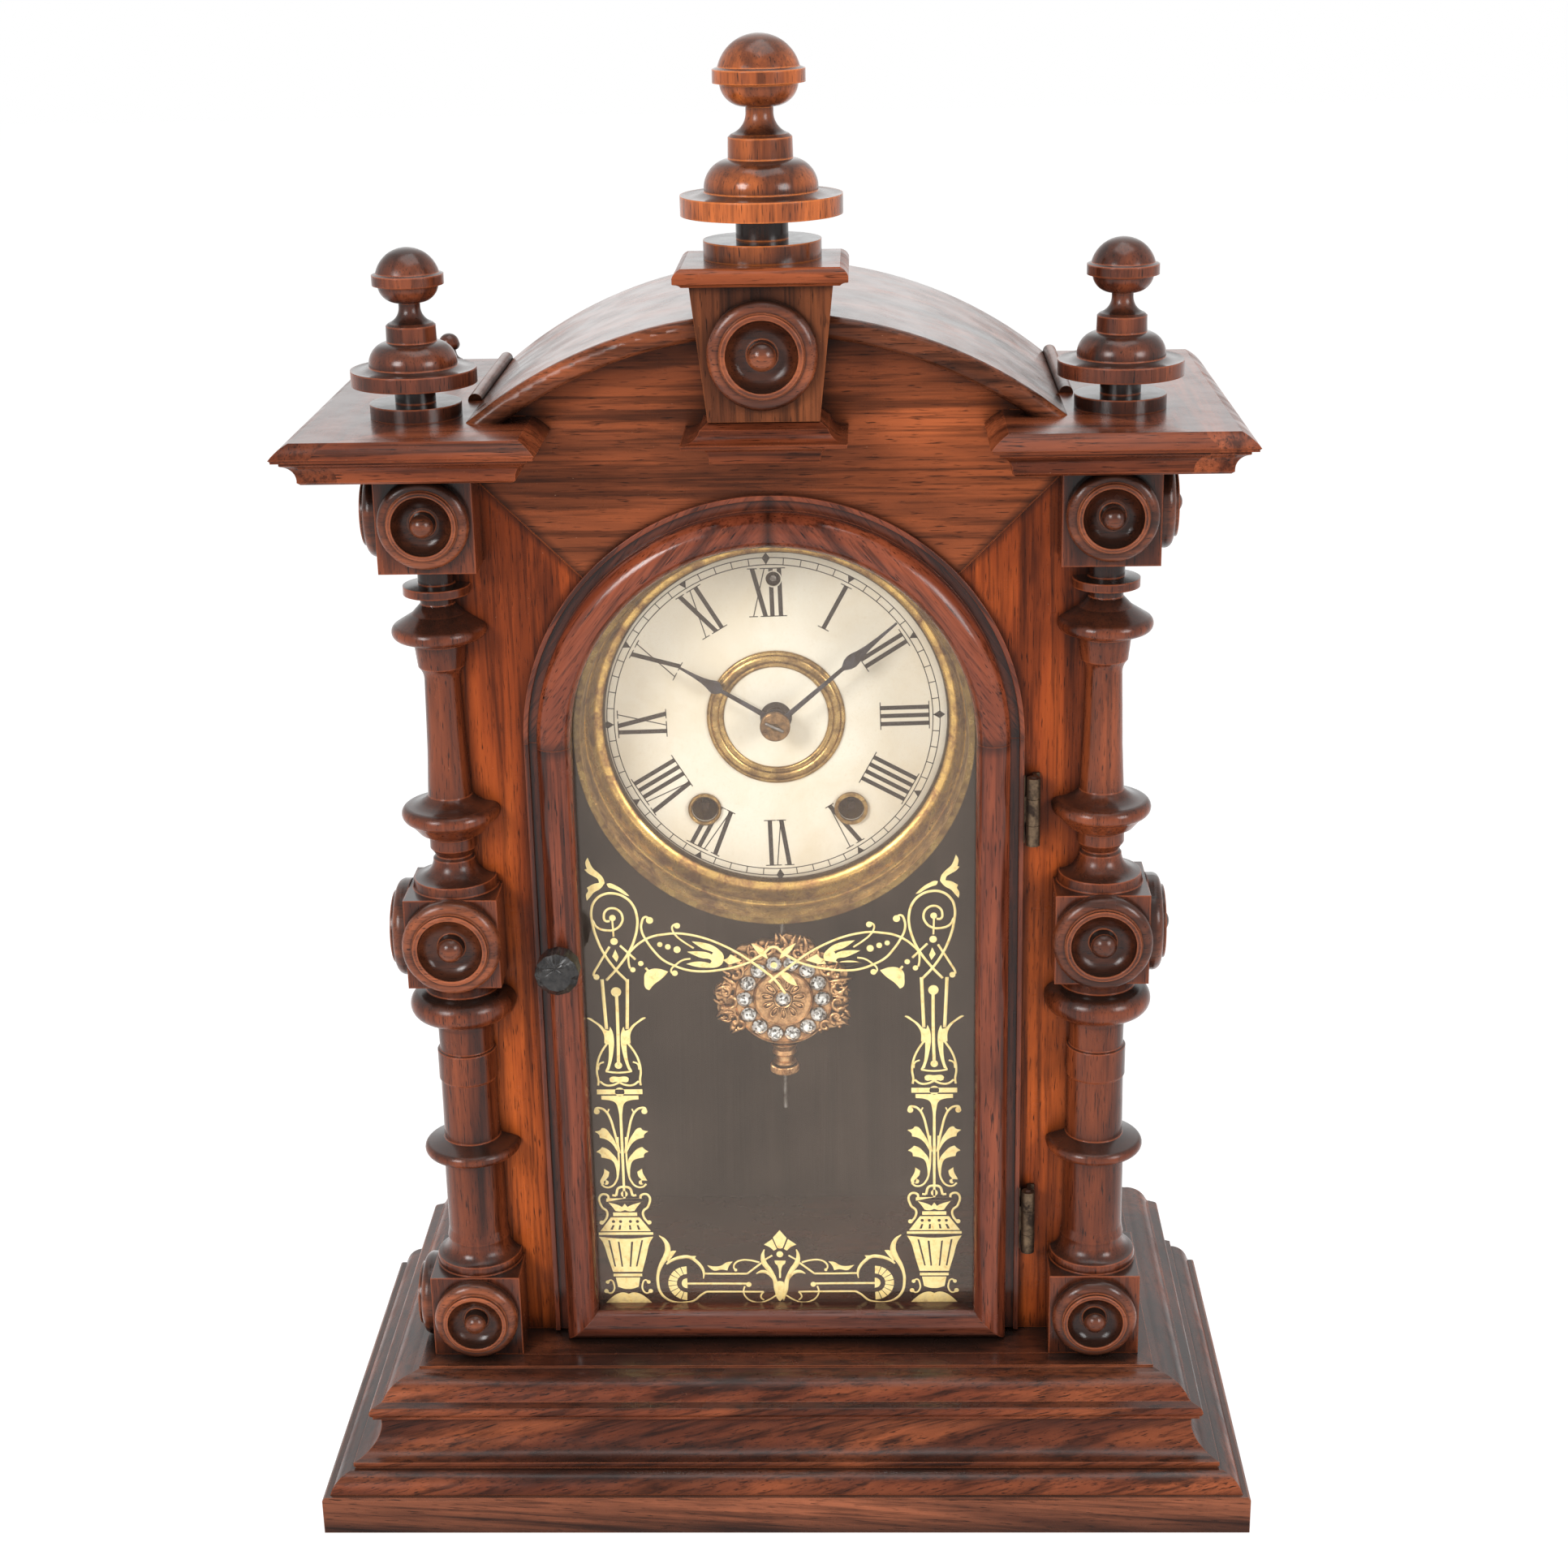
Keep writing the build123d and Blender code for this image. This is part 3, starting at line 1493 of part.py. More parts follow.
# Pendulum: an eyed rod, a cast bob that slides on it and a rating nut below
bob_centre = 166.0
bob_radius = 26.7
bob_thickness = 7.0
rod_foot = 120.5
nut_radius = 5.5
nut_height = 3.2
loop_radius = 6.3
eye_radius = 2.2
hook_gap = 0.05
loop_low = arch_centre - loop_radius
loop_high = arch_centre + loop_radius
suspension_height = arch_centre + suspension_rise
with BuildPart() as pendulum_rod:
    with BuildSketch(upright(rod_y + rod_radius, *suspension_place)):
        Circle(eye_radius)
        Circle(suspension_post_radius + hook_gap, mode=Mode.SUBTRACT)
    extrude(amount=2 * rod_radius)
    with BuildSketch(upright(rod_y + rod_radius, *centre_place)):
        Circle(loop_radius + rod_radius)
        Circle(loop_radius - rod_radius, mode=Mode.SUBTRACT)
    extrude(amount=2 * rod_radius)
    with BuildSketch(Plane.XY.offset(loop_high)):
        with Locations((0, rod_y)):
            Circle(rod_radius)
    extrude(amount=suspension_height - suspension_post_radius - rod_radius - loop_high)
    with BuildSketch(Plane.XY.offset(rod_foot)):
        with Locations((0, rod_y)):
            Circle(rod_radius)
    extrude(amount=loop_low - rod_foot)
save("pendulum_rod", pendulum_rod.part)

bob_back = rod_y + bob_thickness / 2
bob_shares = [
    (1, 0, 0),
    (1, 0.35, 0),
    (0.92, 0.8, -0.2),
    (0.8, 0.75, 0),
    (0.72, 0.55, 0),
    (0.6, 0.8, -0.1),
    (0, 1, -0.1),
]
with BuildPart() as pendulum_bob:
    with Locations(upright(bob_back, 0, bob_centre)):
        add(turned(bob_shares, bob_radius, 0, bob_thickness))
    with BuildSketch(Plane.XY.offset(bob_centre - bob_radius - overrun)):
        with Locations((0, rod_y)):
            Circle(rod_radius + running_fit)
    extrude(amount=2 * (bob_radius + overrun), mode=Mode.SUBTRACT)
save("pendulum_bob", pendulum_bob.part)

nut_low = bob_centre - bob_radius - nut_height - loose_gap
with BuildPart() as rating_nut:
    with BuildSketch(Plane.XY.offset(nut_low)):
        with Locations((0, rod_y)):
            Circle(nut_radius)
            Circle(rod_radius + running_fit, mode=Mode.SUBTRACT)
    extrude(amount=nut_height)
save("rating_nut", rating_nut.part)

# Gong: a coil of wire on a block, and the hammer that swings to it
gong_height = 205.0
gong_stand_off = 10.0
gong_y = back_inner - gong_stand_off
gong_wire = 1.6
gong_radius = 24.0
gong_block_radius = 7.0
with BuildPart() as gong_block:
    add(shaft((0, gong_height), gong_block_radius, gong_y, back_inner))
save("inner_blocks", dial_cleats.part, gong_block.part)

gong_turns = 4
gong_core = 8.5
gong_steps = 12
with BuildPart() as gong:
    with BuildSketch(upright(gong_y + gong_wire, 0, gong_height)):
        with BuildLine():
            outer = []
            inner = []
            for step in range(gong_turns * gong_steps + 1):
                angle = math.radians(step * 360 / gong_steps)
                reach = gong_core + (gong_radius - gong_core) * step / (gong_turns * gong_steps)
                outer.append((reach * math.cos(angle), reach * math.sin(angle)))
                reach -= gong_wire
                inner.append((reach * math.cos(angle), reach * math.sin(angle)))
            Spline(*outer)
            Spline(*inner)
            Line(outer[0], inner[0])
            Line(outer[-1], inner[-1])
        make_face()
    extrude(amount=gong_wire)
save("gong", gong.part)

hammer_head_radius = 4.0
hammer_head_length = 9.0
hammer_arm_width = 2.0
hammer_drop = 66.0
with BuildPart() as hammer:
    add(shaft(hammer_place, hammer_arbor_radius, front_plate_y, gong_y + gong_wire))
    with BuildSketch(upright(gong_y + gong_wire, *hammer_place)):
        with Locations((0, -hammer_drop / 2)):
            Rectangle(hammer_arm_width, hammer_drop)
    extrude(amount=gong_wire)
    with BuildSketch(Plane.YZ.offset(hammer_place[0] - hammer_head_length / 2)):
        with Locations((gong_y + gong_wire / 2, hammer_place[1] - hammer_drop)):
            Circle(hammer_head_radius)
    extrude(amount=hammer_head_length)
save("hammer", hammer.part)
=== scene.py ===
from math import cos, pi, radians, sin

import bmesh
import bpy
from mathutils import Matrix, Vector


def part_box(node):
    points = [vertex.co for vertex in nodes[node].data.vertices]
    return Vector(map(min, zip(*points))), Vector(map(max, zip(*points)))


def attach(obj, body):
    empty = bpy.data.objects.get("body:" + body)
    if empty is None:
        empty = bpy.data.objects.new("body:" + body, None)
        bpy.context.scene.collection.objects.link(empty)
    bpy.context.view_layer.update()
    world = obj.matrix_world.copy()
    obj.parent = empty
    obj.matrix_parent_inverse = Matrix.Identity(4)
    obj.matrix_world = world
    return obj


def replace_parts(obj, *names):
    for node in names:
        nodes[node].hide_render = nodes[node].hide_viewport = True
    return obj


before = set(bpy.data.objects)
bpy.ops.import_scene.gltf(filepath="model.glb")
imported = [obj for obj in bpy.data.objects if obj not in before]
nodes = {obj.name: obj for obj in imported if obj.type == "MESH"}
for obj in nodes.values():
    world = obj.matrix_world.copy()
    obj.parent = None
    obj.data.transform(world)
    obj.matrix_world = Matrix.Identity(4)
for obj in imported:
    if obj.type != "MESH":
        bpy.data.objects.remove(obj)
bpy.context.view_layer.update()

MM = 0.001
FULL = 2 * pi
HANDS_Z = 279.0
scene = bpy.context.scene
scene.view_settings.view_transform = "Standard"


def place(x, y, z):
    return Vector((x * MM, y * MM, z * MM))


def tone(r, g, b):
    """A colour given as it looks, 0 to 255, as the shader wants it."""
    def linear(v):
        return v / 255 / 12.92 if v <= 10 else ((v / 255 + 0.055) / 1.055) ** 2.4

    return linear(r), linear(g), linear(b), 1.0


def linked(name, data):
    obj = bpy.data.objects.new(name, data)
    scene.collection.objects.link(obj)
    return obj


def mesh_data(name, mesh):
    data = bpy.data.meshes.new(name)
    mesh.to_mesh(data)
    mesh.free()
    return data


def evaluated(obj):
    bpy.context.view_layer.update()
    return bpy.data.meshes.new_from_object(obj.evaluated_get(bpy.context.evaluated_depsgraph_get()))


# Camera, floor and light

CAMERA_AT = (32.8, -859.4, 554.6)
YAW, PITCH, ROLL = -1.810, 19.327, -1.106
SENSOR, LENS, SHIFT = 36.0, 58.95, (-0.0061, 0.0008)
ROOM_LIGHT, FLOOR_GLOW, FLOOR_SHARE = 0.60, 1.3, 0.62
# Each lamp: place, aim, size and power
LAMPS = (
    ("soft_box_left", (-1.0, -1.35, 1.05), (0.0, 0.0, 0.25), 0.55, 21.0),
    ("soft_box_right", (1.2, -1.05, 0.85), (0.0, 0.0, 0.25), 0.55, 13.0),
    ("soft_box_top", (0.1, -0.1, 1.7), (0.0, 0.0, 0.3), 1.0, 9.0),
)


def set_camera():
    data = bpy.data.cameras.new("photo_camera")
    data.sensor_width, data.lens = SENSOR, LENS
    data.shift_x, data.shift_y = SHIFT
    data.clip_start, data.clip_end = 0.02, 30.0
    camera = linked("photo_camera", data)
    yaw, pitch, roll = radians(YAW), radians(PITCH), radians(ROLL)
    ahead = Vector((sin(yaw) * cos(pitch), cos(yaw) * cos(pitch), -sin(pitch)))
    level = Vector((cos(yaw), -sin(yaw), 0.0))
    above = level.cross(ahead)
    right = cos(roll) * level + sin(roll) * above
    up = -sin(roll) * level + cos(roll) * above
    turn = Matrix((right, up, -ahead)).transposed().to_4x4()
    turn.translation = place(*CAMERA_AT)
    camera.matrix_world = turn
    scene.camera = camera


def lamp(name, at, aim, size, power):
    data = bpy.data.lights.new(name, "AREA")
    data.shape, data.size, data.energy = "SQUARE", size, power
    obj = linked(name, data)
    obj.location = at
    obj.rotation_euler = (Vector(aim) - Vector(at)).to_track_quat("-Z", "Y").to_euler()


def put(tree, socket, value):
    """Gives a socket a value, or links another node's output to it."""
    if hasattr(value, "is_output"):
        tree.links.new(value, socket)
    else:
        socket.default_value = value


def fill(tree, node, **inputs):
    for name, value in inputs.items():
        put(tree, node.inputs[name.replace("_", " ")], value)
    return node


def add_node(tree, kind, **inputs):
    return fill(tree, tree.nodes.new("ShaderNode" + kind), **inputs)


def calculate(tree, operation, a, b=0.0, clamp=False):
    node = add_node(tree, "Math")
    node.operation, node.use_clamp = operation, clamp
    put(tree, node.inputs[0], a)
    put(tree, node.inputs[1], b)
    return node.outputs[0]


def rays_to_lens(tree):
    """1 for rays from the camera, through glass or off a gloss, and 0 for light that falls."""
    path = add_node(tree, "LightPath").outputs
    seen = calculate(tree, "ADD", path["Is Camera Ray"], path["Is Transmission Ray"])
    return calculate(tree, "ADD", seen, path["Is Glossy Ray"], True)


def mix_shaders(tree, share, first, second):
    node = add_node(tree, "MixShader", Fac=share)
    put(tree, node.inputs[1], first)
    put(tree, node.inputs[2], second)
    return node.outputs[0]


def set_light():
    world = bpy.data.worlds.new("white_room")
    world.use_nodes = True
    scene.world = world
    tree = world.node_tree
    tree.nodes.clear()
    white = (1.0, 1.0, 1.0, 1.0)
    shades = [add_node(tree, "Background", Color=white, Strength=v).outputs[0] for v in (ROOM_LIGHT, 1.0)]
    add_node(tree, "OutputWorld", Surface=mix_shaders(tree, rays_to_lens(tree), *shades))
    for row in LAMPS:
        lamp(*row)


def set_floor():
    """A pale floor that keeps part of the shadow and glows the rest of the way to white."""
    mesh = bmesh.new()
    bmesh.ops.create_grid(mesh, x_segments=1, y_segments=1, size=6.0)
    data = mesh_data("floor", mesh)
    floor = linked("floor", data)
    paper = bpy.data.materials.new("pale_floor")
    paper.use_nodes = True
    tree = paper.node_tree
    tree.nodes.clear()
    matt = add_node(tree, "BsdfDiffuse", Color=(0.86, 0.86, 0.86, 1.0))
    white = add_node(tree, "Emission", Strength=FLOOR_GLOW)
    share = calculate(tree, "MULTIPLY", rays_to_lens(tree), FLOOR_SHARE)
    add_node(tree, "OutputMaterial", Surface=mix_shaders(tree, share, matt.outputs[0], white.outputs[0]))
    data.materials.append(paper)


# Finishes

RECESS_SAMPLES, EASE_SAMPLES = 6, 3
# SHADE_AND_GRIME paints shade, with some grime, into recesses
SHADE_AND_GRIME, UPWARD_DARK, CREVICE, NICK = tone(18, 10, 8), tone(34, 24, 20), tone(20, 11, 8), tone(196, 150, 120)
MITRE_HEIGHT = 273.4
GILT_WORN, GILT_WHOLE = 60.0, 64.0


class Finish:
    """One material; each call adds a node and gives back its result."""

    def __init__(self, name):
        self.material = bpy.data.materials.new(name)
        self.material.use_nodes = True
        self.tree = self.material.node_tree
        self.tree.nodes.clear()
        self.body = self.node("BsdfPrincipled")
        self.out = self.node("OutputMaterial", Surface=self.body.outputs[0])
        self.object_space = self.node("TexCoord").outputs["Object"]

    def node(self, kind, **inputs):
        return add_node(self.tree, kind, **inputs)

    def set(self, **values):
        fill(self.tree, self.body, **values)
        return self

    def cells(self, size, turn=(0.0, 0.0, 0.0), at=(0.0, 0.0, 0.0), source=None):
        """Space counted in cells of that size in millimetres, turned by degrees."""
        node = self.node("Mapping", Vector=source or self.object_space)
        node.vector_type = "TEXTURE"
        angles = [radians(v) for v in turn]
        fill(self.tree, node, Location=place(*at), Rotation=angles, Scale=[v * MM for v in size])
        return node.outputs[0]

    def noise(self, space, detail=3.0, rough=0.55, bend=0.0):
        look = dict(Scale=1.0, Detail=detail, Roughness=rough, Distortion=bend)
        return self.node("TexNoise", Vector=space, **look).outputs["Fac"]

    def mottle(self, size, detail=3.0, rough=0.55, bend=0.0):
        """Noise as coarse one way as another."""
        return self.noise(self.cells((size, size, size)), detail, rough, bend)

    def ramp(self, value, *stops):
        node = self.node("ValToRGB", Fac=value)
        points = node.color_ramp.elements
        while len(points) < len(stops):
            points.new(0.5)
        for point, (where, colour) in zip(points, stops):
            point.position = where
            point.color = colour if isinstance(colour, tuple) else (colour, colour, colour, 1.0)
        return node.outputs["Color"]

    def sum(self, operation, a, b=0.0, clamp=False):
        return calculate(self.tree, operation, a, b, clamp)

    def blend(self, share, a, b, way="MIX"):
        node = self.node("Mix")
        node.data_type, node.blend_type = "RGBA", way
        return fill(self.tree, node, Factor=share, A=a, B=b).outputs["Result"]

    def stain(self, colour, value, first, last, shade):
        """The colour, with a shade laid over it where a value runs from the first stop to the last."""
        return self.blend(self.ramp(value, first, last), colour, shade)

    def axes(self, source=None):
        node = self.node("SeparateXYZ")
        put(self.tree, node.inputs[0], source or self.object_space)
        return node.outputs

    def folded(self):
        """Space mirrored about the clock's middle, so that both sides match."""
        x, y, z = self.axes()
        return self.node("CombineXYZ", X=self.sum("ABSOLUTE", x), Y=y, Z=z).outputs[0]

    def mitred(self, half_width, half_depth):
        """Space whose x and y change places along the sides, so that grain runs round a base."""
        x, y, z = self.axes()
        from_side = self.sum("SUBTRACT", half_width * MM, self.sum("ABSOLUTE", x))
        from_front = self.sum("SUBTRACT", half_depth * MM, self.sum("ABSOLUTE", y))
        side = self.sum("LESS_THAN", from_side, from_front)
        swap = self.sum("MULTIPLY", side, self.sum("SUBTRACT", y, x))
        x, y = self.sum("ADD", x, swap), self.sum("SUBTRACT", y, swap)
        return self.node("CombineXYZ", X=x, Y=y, Z=z).outputs[0]

    def recess(self, reach):
        node = self.node("AmbientOcclusion", Distance=reach * MM)
        node.samples = RECESS_SAMPLES
        return node.outputs["AO"]

    def relief(self, height, depth, strength=1.0, base=None):
        node = self.node("Bump", Strength=strength, Distance=depth * MM, Height=height)
        if base is not None:
            fill(self.tree, node, Normal=base)
        return node.outputs["Normal"]

    def eased(self, radius):
        node = self.node("Bevel", Radius=radius * MM)
        node.samples = EASE_SAMPLES
        return node.outputs["Normal"]

    def edge_wear(self, eased):
        """Near 1 on an arris, where the eased normal leaves the flat one."""
        dot = self.node("VectorMath")
        dot.operation = "DOT_PRODUCT"
        for socket, normal in zip(dot.inputs, (eased, self.node("NewGeometry").outputs["Normal"])):
            put(self.tree, socket, normal)
        return self.ramp(dot.outputs["Value"], (0.86, 1.0), (0.985, 0.0))


GRAIN = {"X": (0, 90, 0), "Y": (90, 0, 0), "Z": (0, 0, 0)}


def wood(name, tones, grain="Z", lean=0.0, fold=False, shift=(0, 0, 0), gloss=0.30, shine=0.12,
         polish=(0.8, 0.82, 0.985), streaks=0.7, recess_shade_and_grime=0.95, seam=None, wear=0.5, cell=26.0,
         smoke=0.6, pore=0.5, upward_darkening=0.0, upward_darkening_from=0.55, ease=0.5, reach=9.0, round_base=None,
         recess_shade_stops=(0.30, 0.80)):
    """Varnished rosewood: a broad figure, dark streaks and open pores along the grain."""
    made = Finish(name)
    light, mid, dark = (tone(*rgb) for rgb in tones)
    source = made.folded() if fold else made.mitred(*round_base) if round_base else None
    turn = list(GRAIN[grain])
    turn[1] += lean

    def shaded(rgb, factor):
        return tuple(min(1.0, c * factor) for c in rgb[:3]) + (1.0,)

    def along(width, length, detail, rough, bend=0.0):
        return made.noise(made.cells((width, width, length), turn, shift, source), detail, rough, bend)

    colour = made.ramp(along(cell, cell * 9, 5.0, 0.62, 0.5), (0.30, dark), (0.46, mid), (0.70, light))
    broad, narrow = along(4.2, 150.0, 4.0, 0.6, 0.3), along(1.5, 42.0, 3.0, 0.6, 0.2)
    colour = made.stain(colour, broad, (0.34, streaks), (0.50, 0.0), shaded(dark, 0.34))
    colour = made.stain(colour, narrow, (0.34, streaks * 0.8), (0.48, 0.0), shaded(dark, 0.5))
    cloud = along(60.0, 105.0, 4.0, 0.55, 0.4)
    colour = made.stain(colour, cloud, (0.28, smoke), (0.47, 0.0), shaded(dark, 0.42))
    pores = along(pore, pore * 15, 2.0, 0.5)
    colour = made.stain(colour, pores, (0.31, 0.85), (0.40, 0.0), shaded(dark, 0.2))
    nicks = along(0.8, 1.1, 3.0, 0.6)
    colour = made.stain(colour, nicks, (0.73, 0.0), (0.79, 0.5), NICK)
    # Painted shade with some grime: recesses darkened by ambient occlusion
    colour = made.stain(colour, made.recess(reach), (recess_shade_stops[0], recess_shade_and_grime), (recess_shade_stops[1], 0.0), SHADE_AND_GRIME)
    upward = made.axes(made.node("NewGeometry").outputs["Normal"])[2]
    # Upward faces darker
    colour = made.stain(colour, upward, (upward_darkening_from, 0.0), (0.95, upward_darkening), UPWARD_DARK)
    if seam is not None:
        colour = made.blend(seam(made), colour, CREVICE)
    eased = made.eased(ease)
    rubbed = made.sum("MULTIPLY", made.edge_wear(eased), wear)
    colour = made.blend(rubbed, colour, shaded(light, 1.8))
    dull = made.mottle(14.0, 4.0, 0.6)
    rough = made.ramp(dull, (0.35, gloss - 0.06), (0.65, gloss + 0.12))
    most, flat_from, flat_to = polish
    coat = made.ramp(upward, (flat_from, 0.0), (flat_to, most))
    ripple = along(9.0, 60.0, 2.0, 0.5)
    bump = made.relief(pores, 0.06, 0.4, made.relief(ripple, 0.25, 0.3, eased))
    made.set(Base_Color=colour, Roughness=rough, Normal=bump, Specular_IOR_Level=shine)
    return made.set(Coat_Weight=coat, Coat_Roughness=0.22).material


def mitre_seam(made):
    """The veneer's mitre between the head and the stiles, at 45 degrees."""
    x, _, z = made.axes()
    off = made.sum("SUBTRACT", made.sum("SUBTRACT", z, made.sum("ABSOLUTE", x)), MITRE_HEIGHT * MM)
    return made.ramp(made.sum("ABSOLUTE", off), (0.0001, 0.8), (0.00034, 0.0))


def crown_seam(made):
    """The joints of the door's arch: at its crown and where it springs from the stiles."""
    x, _, z = made.axes()
    near = made.ramp(made.sum("ABSOLUTE", x), (0.0001, 0.8), (0.0003, 0.0))
    spring = made.sum("ABSOLUTE", made.sum("SUBTRACT", z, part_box("door_stiles")[1].z))
    return made.sum("MAXIMUM", near, made.ramp(spring, (0.0001, 0.7), (0.0003, 0.0)))


def plain_wood(name, light, dark, grain="Z"):
    made = Finish(name)
    figure = made.noise(made.cells((9.0, 9.0, 260.0), GRAIN[grain]), 5.0, 0.6, 0.4)
    colour = made.ramp(figure, (0.34, tone(*dark)), (0.66, tone(*light)))
    # Painted shade: recesses darkened by ambient occlusion
    colour = made.stain(colour, made.recess(12.0), (0.2, 0.7), (0.9, 0.0), tone(24, 19, 16))
    bump = made.relief(figure, 0.3, 0.5)
    return made.set(Base_Color=colour, Roughness=0.72, Normal=bump, Specular_IOR_Level=0.2).material


# The dial pan's painted light and shade, partly tarnish, in steps: each a share of the way from its inner
# edge and how bright it is
PAN_INNER, PAN_WIDTH = 60.5, 8.5
PAN_LIGHT_AND_SHADE = ((0.0, 0.12), (0.05, 0.9), (0.30, 1.0), (0.38, 0.42), (0.60, 0.40), (0.65, 1.0),
             (0.68, 0.35), (0.73, 0.62), (0.95, 0.72), (1.0, 0.35))


def pan_painted_light(made):
    x, _, z = made.axes()
    up = made.sum("SUBTRACT", z, HANDS_Z * MM)
    radius = made.sum("SQRT", made.sum("ADD", made.sum("MULTIPLY", x, x), made.sum("POWER", up, 2.0)))
    across = made.sum("DIVIDE", made.sum("SUBTRACT", radius, PAN_INNER * MM), PAN_WIDTH * MM)
    return made.ramp(across, *PAN_LIGHT_AND_SHADE)


def metal(name, bright, tarnish, rough=0.3, spread=(0.40, 0.62), size=9.0, recess_shade_and_grime=0.7, brush=None,
          reach=3.0, steps=None):
    """Old lacquered metal, blotched with tarnish, its corners darkened by painted shade with some grime."""
    made = Finish(name)
    bright, tarnish = tone(*bright), tone(*tarnish)
    blotch = made.mottle(size, 6.0, 0.62, 0.4)
    fine = made.mottle(0.9, 3.0, 0.6)
    mottled = made.sum("ADD", made.sum("MULTIPLY", blotch, 0.8), made.sum("MULTIPLY", fine, 0.2))
    colour = made.ramp(mottled, (spread[0], tarnish), (spread[1], bright))
    # Bands of painted light and shade, partly tarnish, multiplied over the colour
    if steps is not None:
        colour = made.blend(1.0, colour, steps(made), "MULTIPLY")
    recess_shade_colour = tuple(c * 0.16 for c in tarnish[:3]) + (1.0,)
    # Painted shade with some grime: recesses darkened by ambient occlusion
    colour = made.stain(colour, made.recess(reach), (0.25, recess_shade_and_grime), (0.85, 0.0), recess_shade_colour)
    roughness = made.ramp(mottled, (spread[0], min(1.0, rough + 0.22)), (spread[1], rough))
    normal = made.relief(mottled, 0.08, 0.4, made.eased(0.2))
    if brush is not None:
        normal = made.relief(made.noise(made.cells(brush), 2.0, 0.5), 0.03, 0.35, normal)
    return made.set(Base_Color=colour, Metallic=1.0, Roughness=roughness, Normal=normal).material


def dial_paper():
    made = Finish("dial_paper")
    stain = made.mottle(34.0, 5.0, 0.6, 0.5)
    colour = made.ramp(stain, (0.32, tone(221, 210, 188)), (0.60, tone(231, 225, 210)))
    fibre = made.mottle(0.8, 3.0, 0.6)
    colour = made.stain(colour, fibre, (0.30, 0.25), (0.45, 0.0), tone(206, 188, 156))
    # Painted shade: the paper darkened by ambient occlusion near the pan and hands
    colour = made.stain(colour, made.recess(3.0), (0.2, 0.5), (0.9, 0.0), tone(120, 92, 60))
    normal = made.relief(fibre, 0.04, 0.3)
    return made.set(Base_Color=colour, Roughness=0.62, Normal=normal, Specular_IOR_Level=0.3).material


def printers_ink():
    made = Finish("printers_ink")
    wear = made.mottle(1.2, 4.0, 0.7)
    colour = made.ramp(wear, (0.30, tone(84, 80, 72)), (0.42, tone(40, 37, 36)))
    return made.set(Base_Color=colour, Roughness=0.55, Specular_IOR_Level=0.25).material


def gold_leaf():
    made = Finish("gold_leaf")
    rub = made.mottle(2.4, 5.0, 0.7)
    dull, mid, bright = tone(214, 170, 92), tone(247, 221, 148), tone(252, 234, 170)
    colour = made.ramp(rub, (0.26, dull), (0.45, mid), (0.7, bright))
    age = made.ramp(made.axes()[2], (GILT_WORN * MM, 0.85), (GILT_WHOLE * MM, 0.0))
    age = made.sum("MULTIPLY", age, made.ramp(rub, (0.40, 0.2), (0.62, 1.0)))
    colour = made.blend(age, colour, tone(150, 92, 44))
    return made.set(Base_Color=colour, Roughness=0.5, Specular_IOR_Level=0.3).material


def window_glass():
    """Old clear glass, slightly dusty; light for shadows goes straight through."""
    made = Finish("window_glass")
    tree = made.tree
    dust = made.noise(made.cells((0.9, 0.9, 0.9), (31, 47, 12)), 3.0, 0.6)
    haze = made.noise(made.cells((40.0, 40.0, 60.0), (20, 35, 8)), 4.0, 0.6)
    made.set(Base_Color=(0.99, 0.97, 0.94, 1.0), Roughness=0.02, Transmission_Weight=1.0, IOR=1.45)
    made.set(Specular_Tint=(1.0, 0.86, 0.76, 1.0))
    film = made.node("BsdfDiffuse", Color=tone(206, 180, 160))
    haze, dust = made.ramp(haze, (0.3, 0.012), (0.7, 0.035)), made.ramp(dust, (0.70, 0.0), (0.78, 0.10))
    amount = made.sum("ADD", haze, dust)
    dusty = mix_shaders(tree, amount, made.body.outputs[0], film.outputs[0])
    clear = made.node("BsdfTransparent", Color=(0.97, 0.97, 0.96, 1.0))
    path = made.node("LightPath").outputs
    through = made.sum("ADD", path["Is Shadow Ray"], path["Is Diffuse Ray"], True)
    put(tree, made.out.inputs["Surface"], mix_shaders(tree, through, dusty, clear.outputs[0]))
    return made.material


def pressed_glass():
    """Nearly black pressed glass with rays cut round its face."""
    made = Finish("pressed_glass")
    low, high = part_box("door_knob")
    hub = ((low.x + high.x) / 2 / MM, 0, low.z / MM + 11.0)
    x, _, z = made.axes(made.cells((1000, 1000, 1000), at=hub))
    around = made.sum("ARCTAN2", z, x)
    rays = made.sum("ABSOLUTE", made.sum("SINE", made.sum("MULTIPLY", around, 5.0)))
    grit = made.mottle(2.6, 4.0, 0.6)
    height = made.sum("ADD", made.sum("MULTIPLY", rays, 0.7), made.sum("MULTIPLY", grit, 0.6))
    colour = made.ramp(grit, (0.35, tone(20, 19, 19)), (0.7, tone(52, 49, 47)))
    normal = made.relief(height, 1.1, 0.55, made.eased(0.4))
    return made.set(Base_Color=colour, Roughness=0.26, Specular_IOR_Level=0.4, Normal=normal).material


def brilliant_glass():
    """Foil-backed cut glass: small facets, each painted its own grey from dark to white, painted glints for
    the light each facet catches.
    """
    made = Finish("brilliant_glass")
    facets = made.node("TexVoronoi", Vector=made.cells((0.8, 0.8, 0.8)), Scale=1.0)
    spread = made.axes(facets.outputs["Color"])[0]
    dark, mid, clear = tone(70, 72, 72), tone(190, 190, 186), tone(255, 255, 252)
    # Painted glints and shade: each facet a grey from dark to white
    painted_glint_grey = made.ramp(spread, (0.12, dark), (0.40, mid), (0.62, clear))
    made.set(Base_Color=painted_glint_grey, Roughness=0.1, Metallic=0.4, Specular_IOR_Level=0.8)
    return made.set(Normal=made.relief(spread, 0.25, 0.7)).material


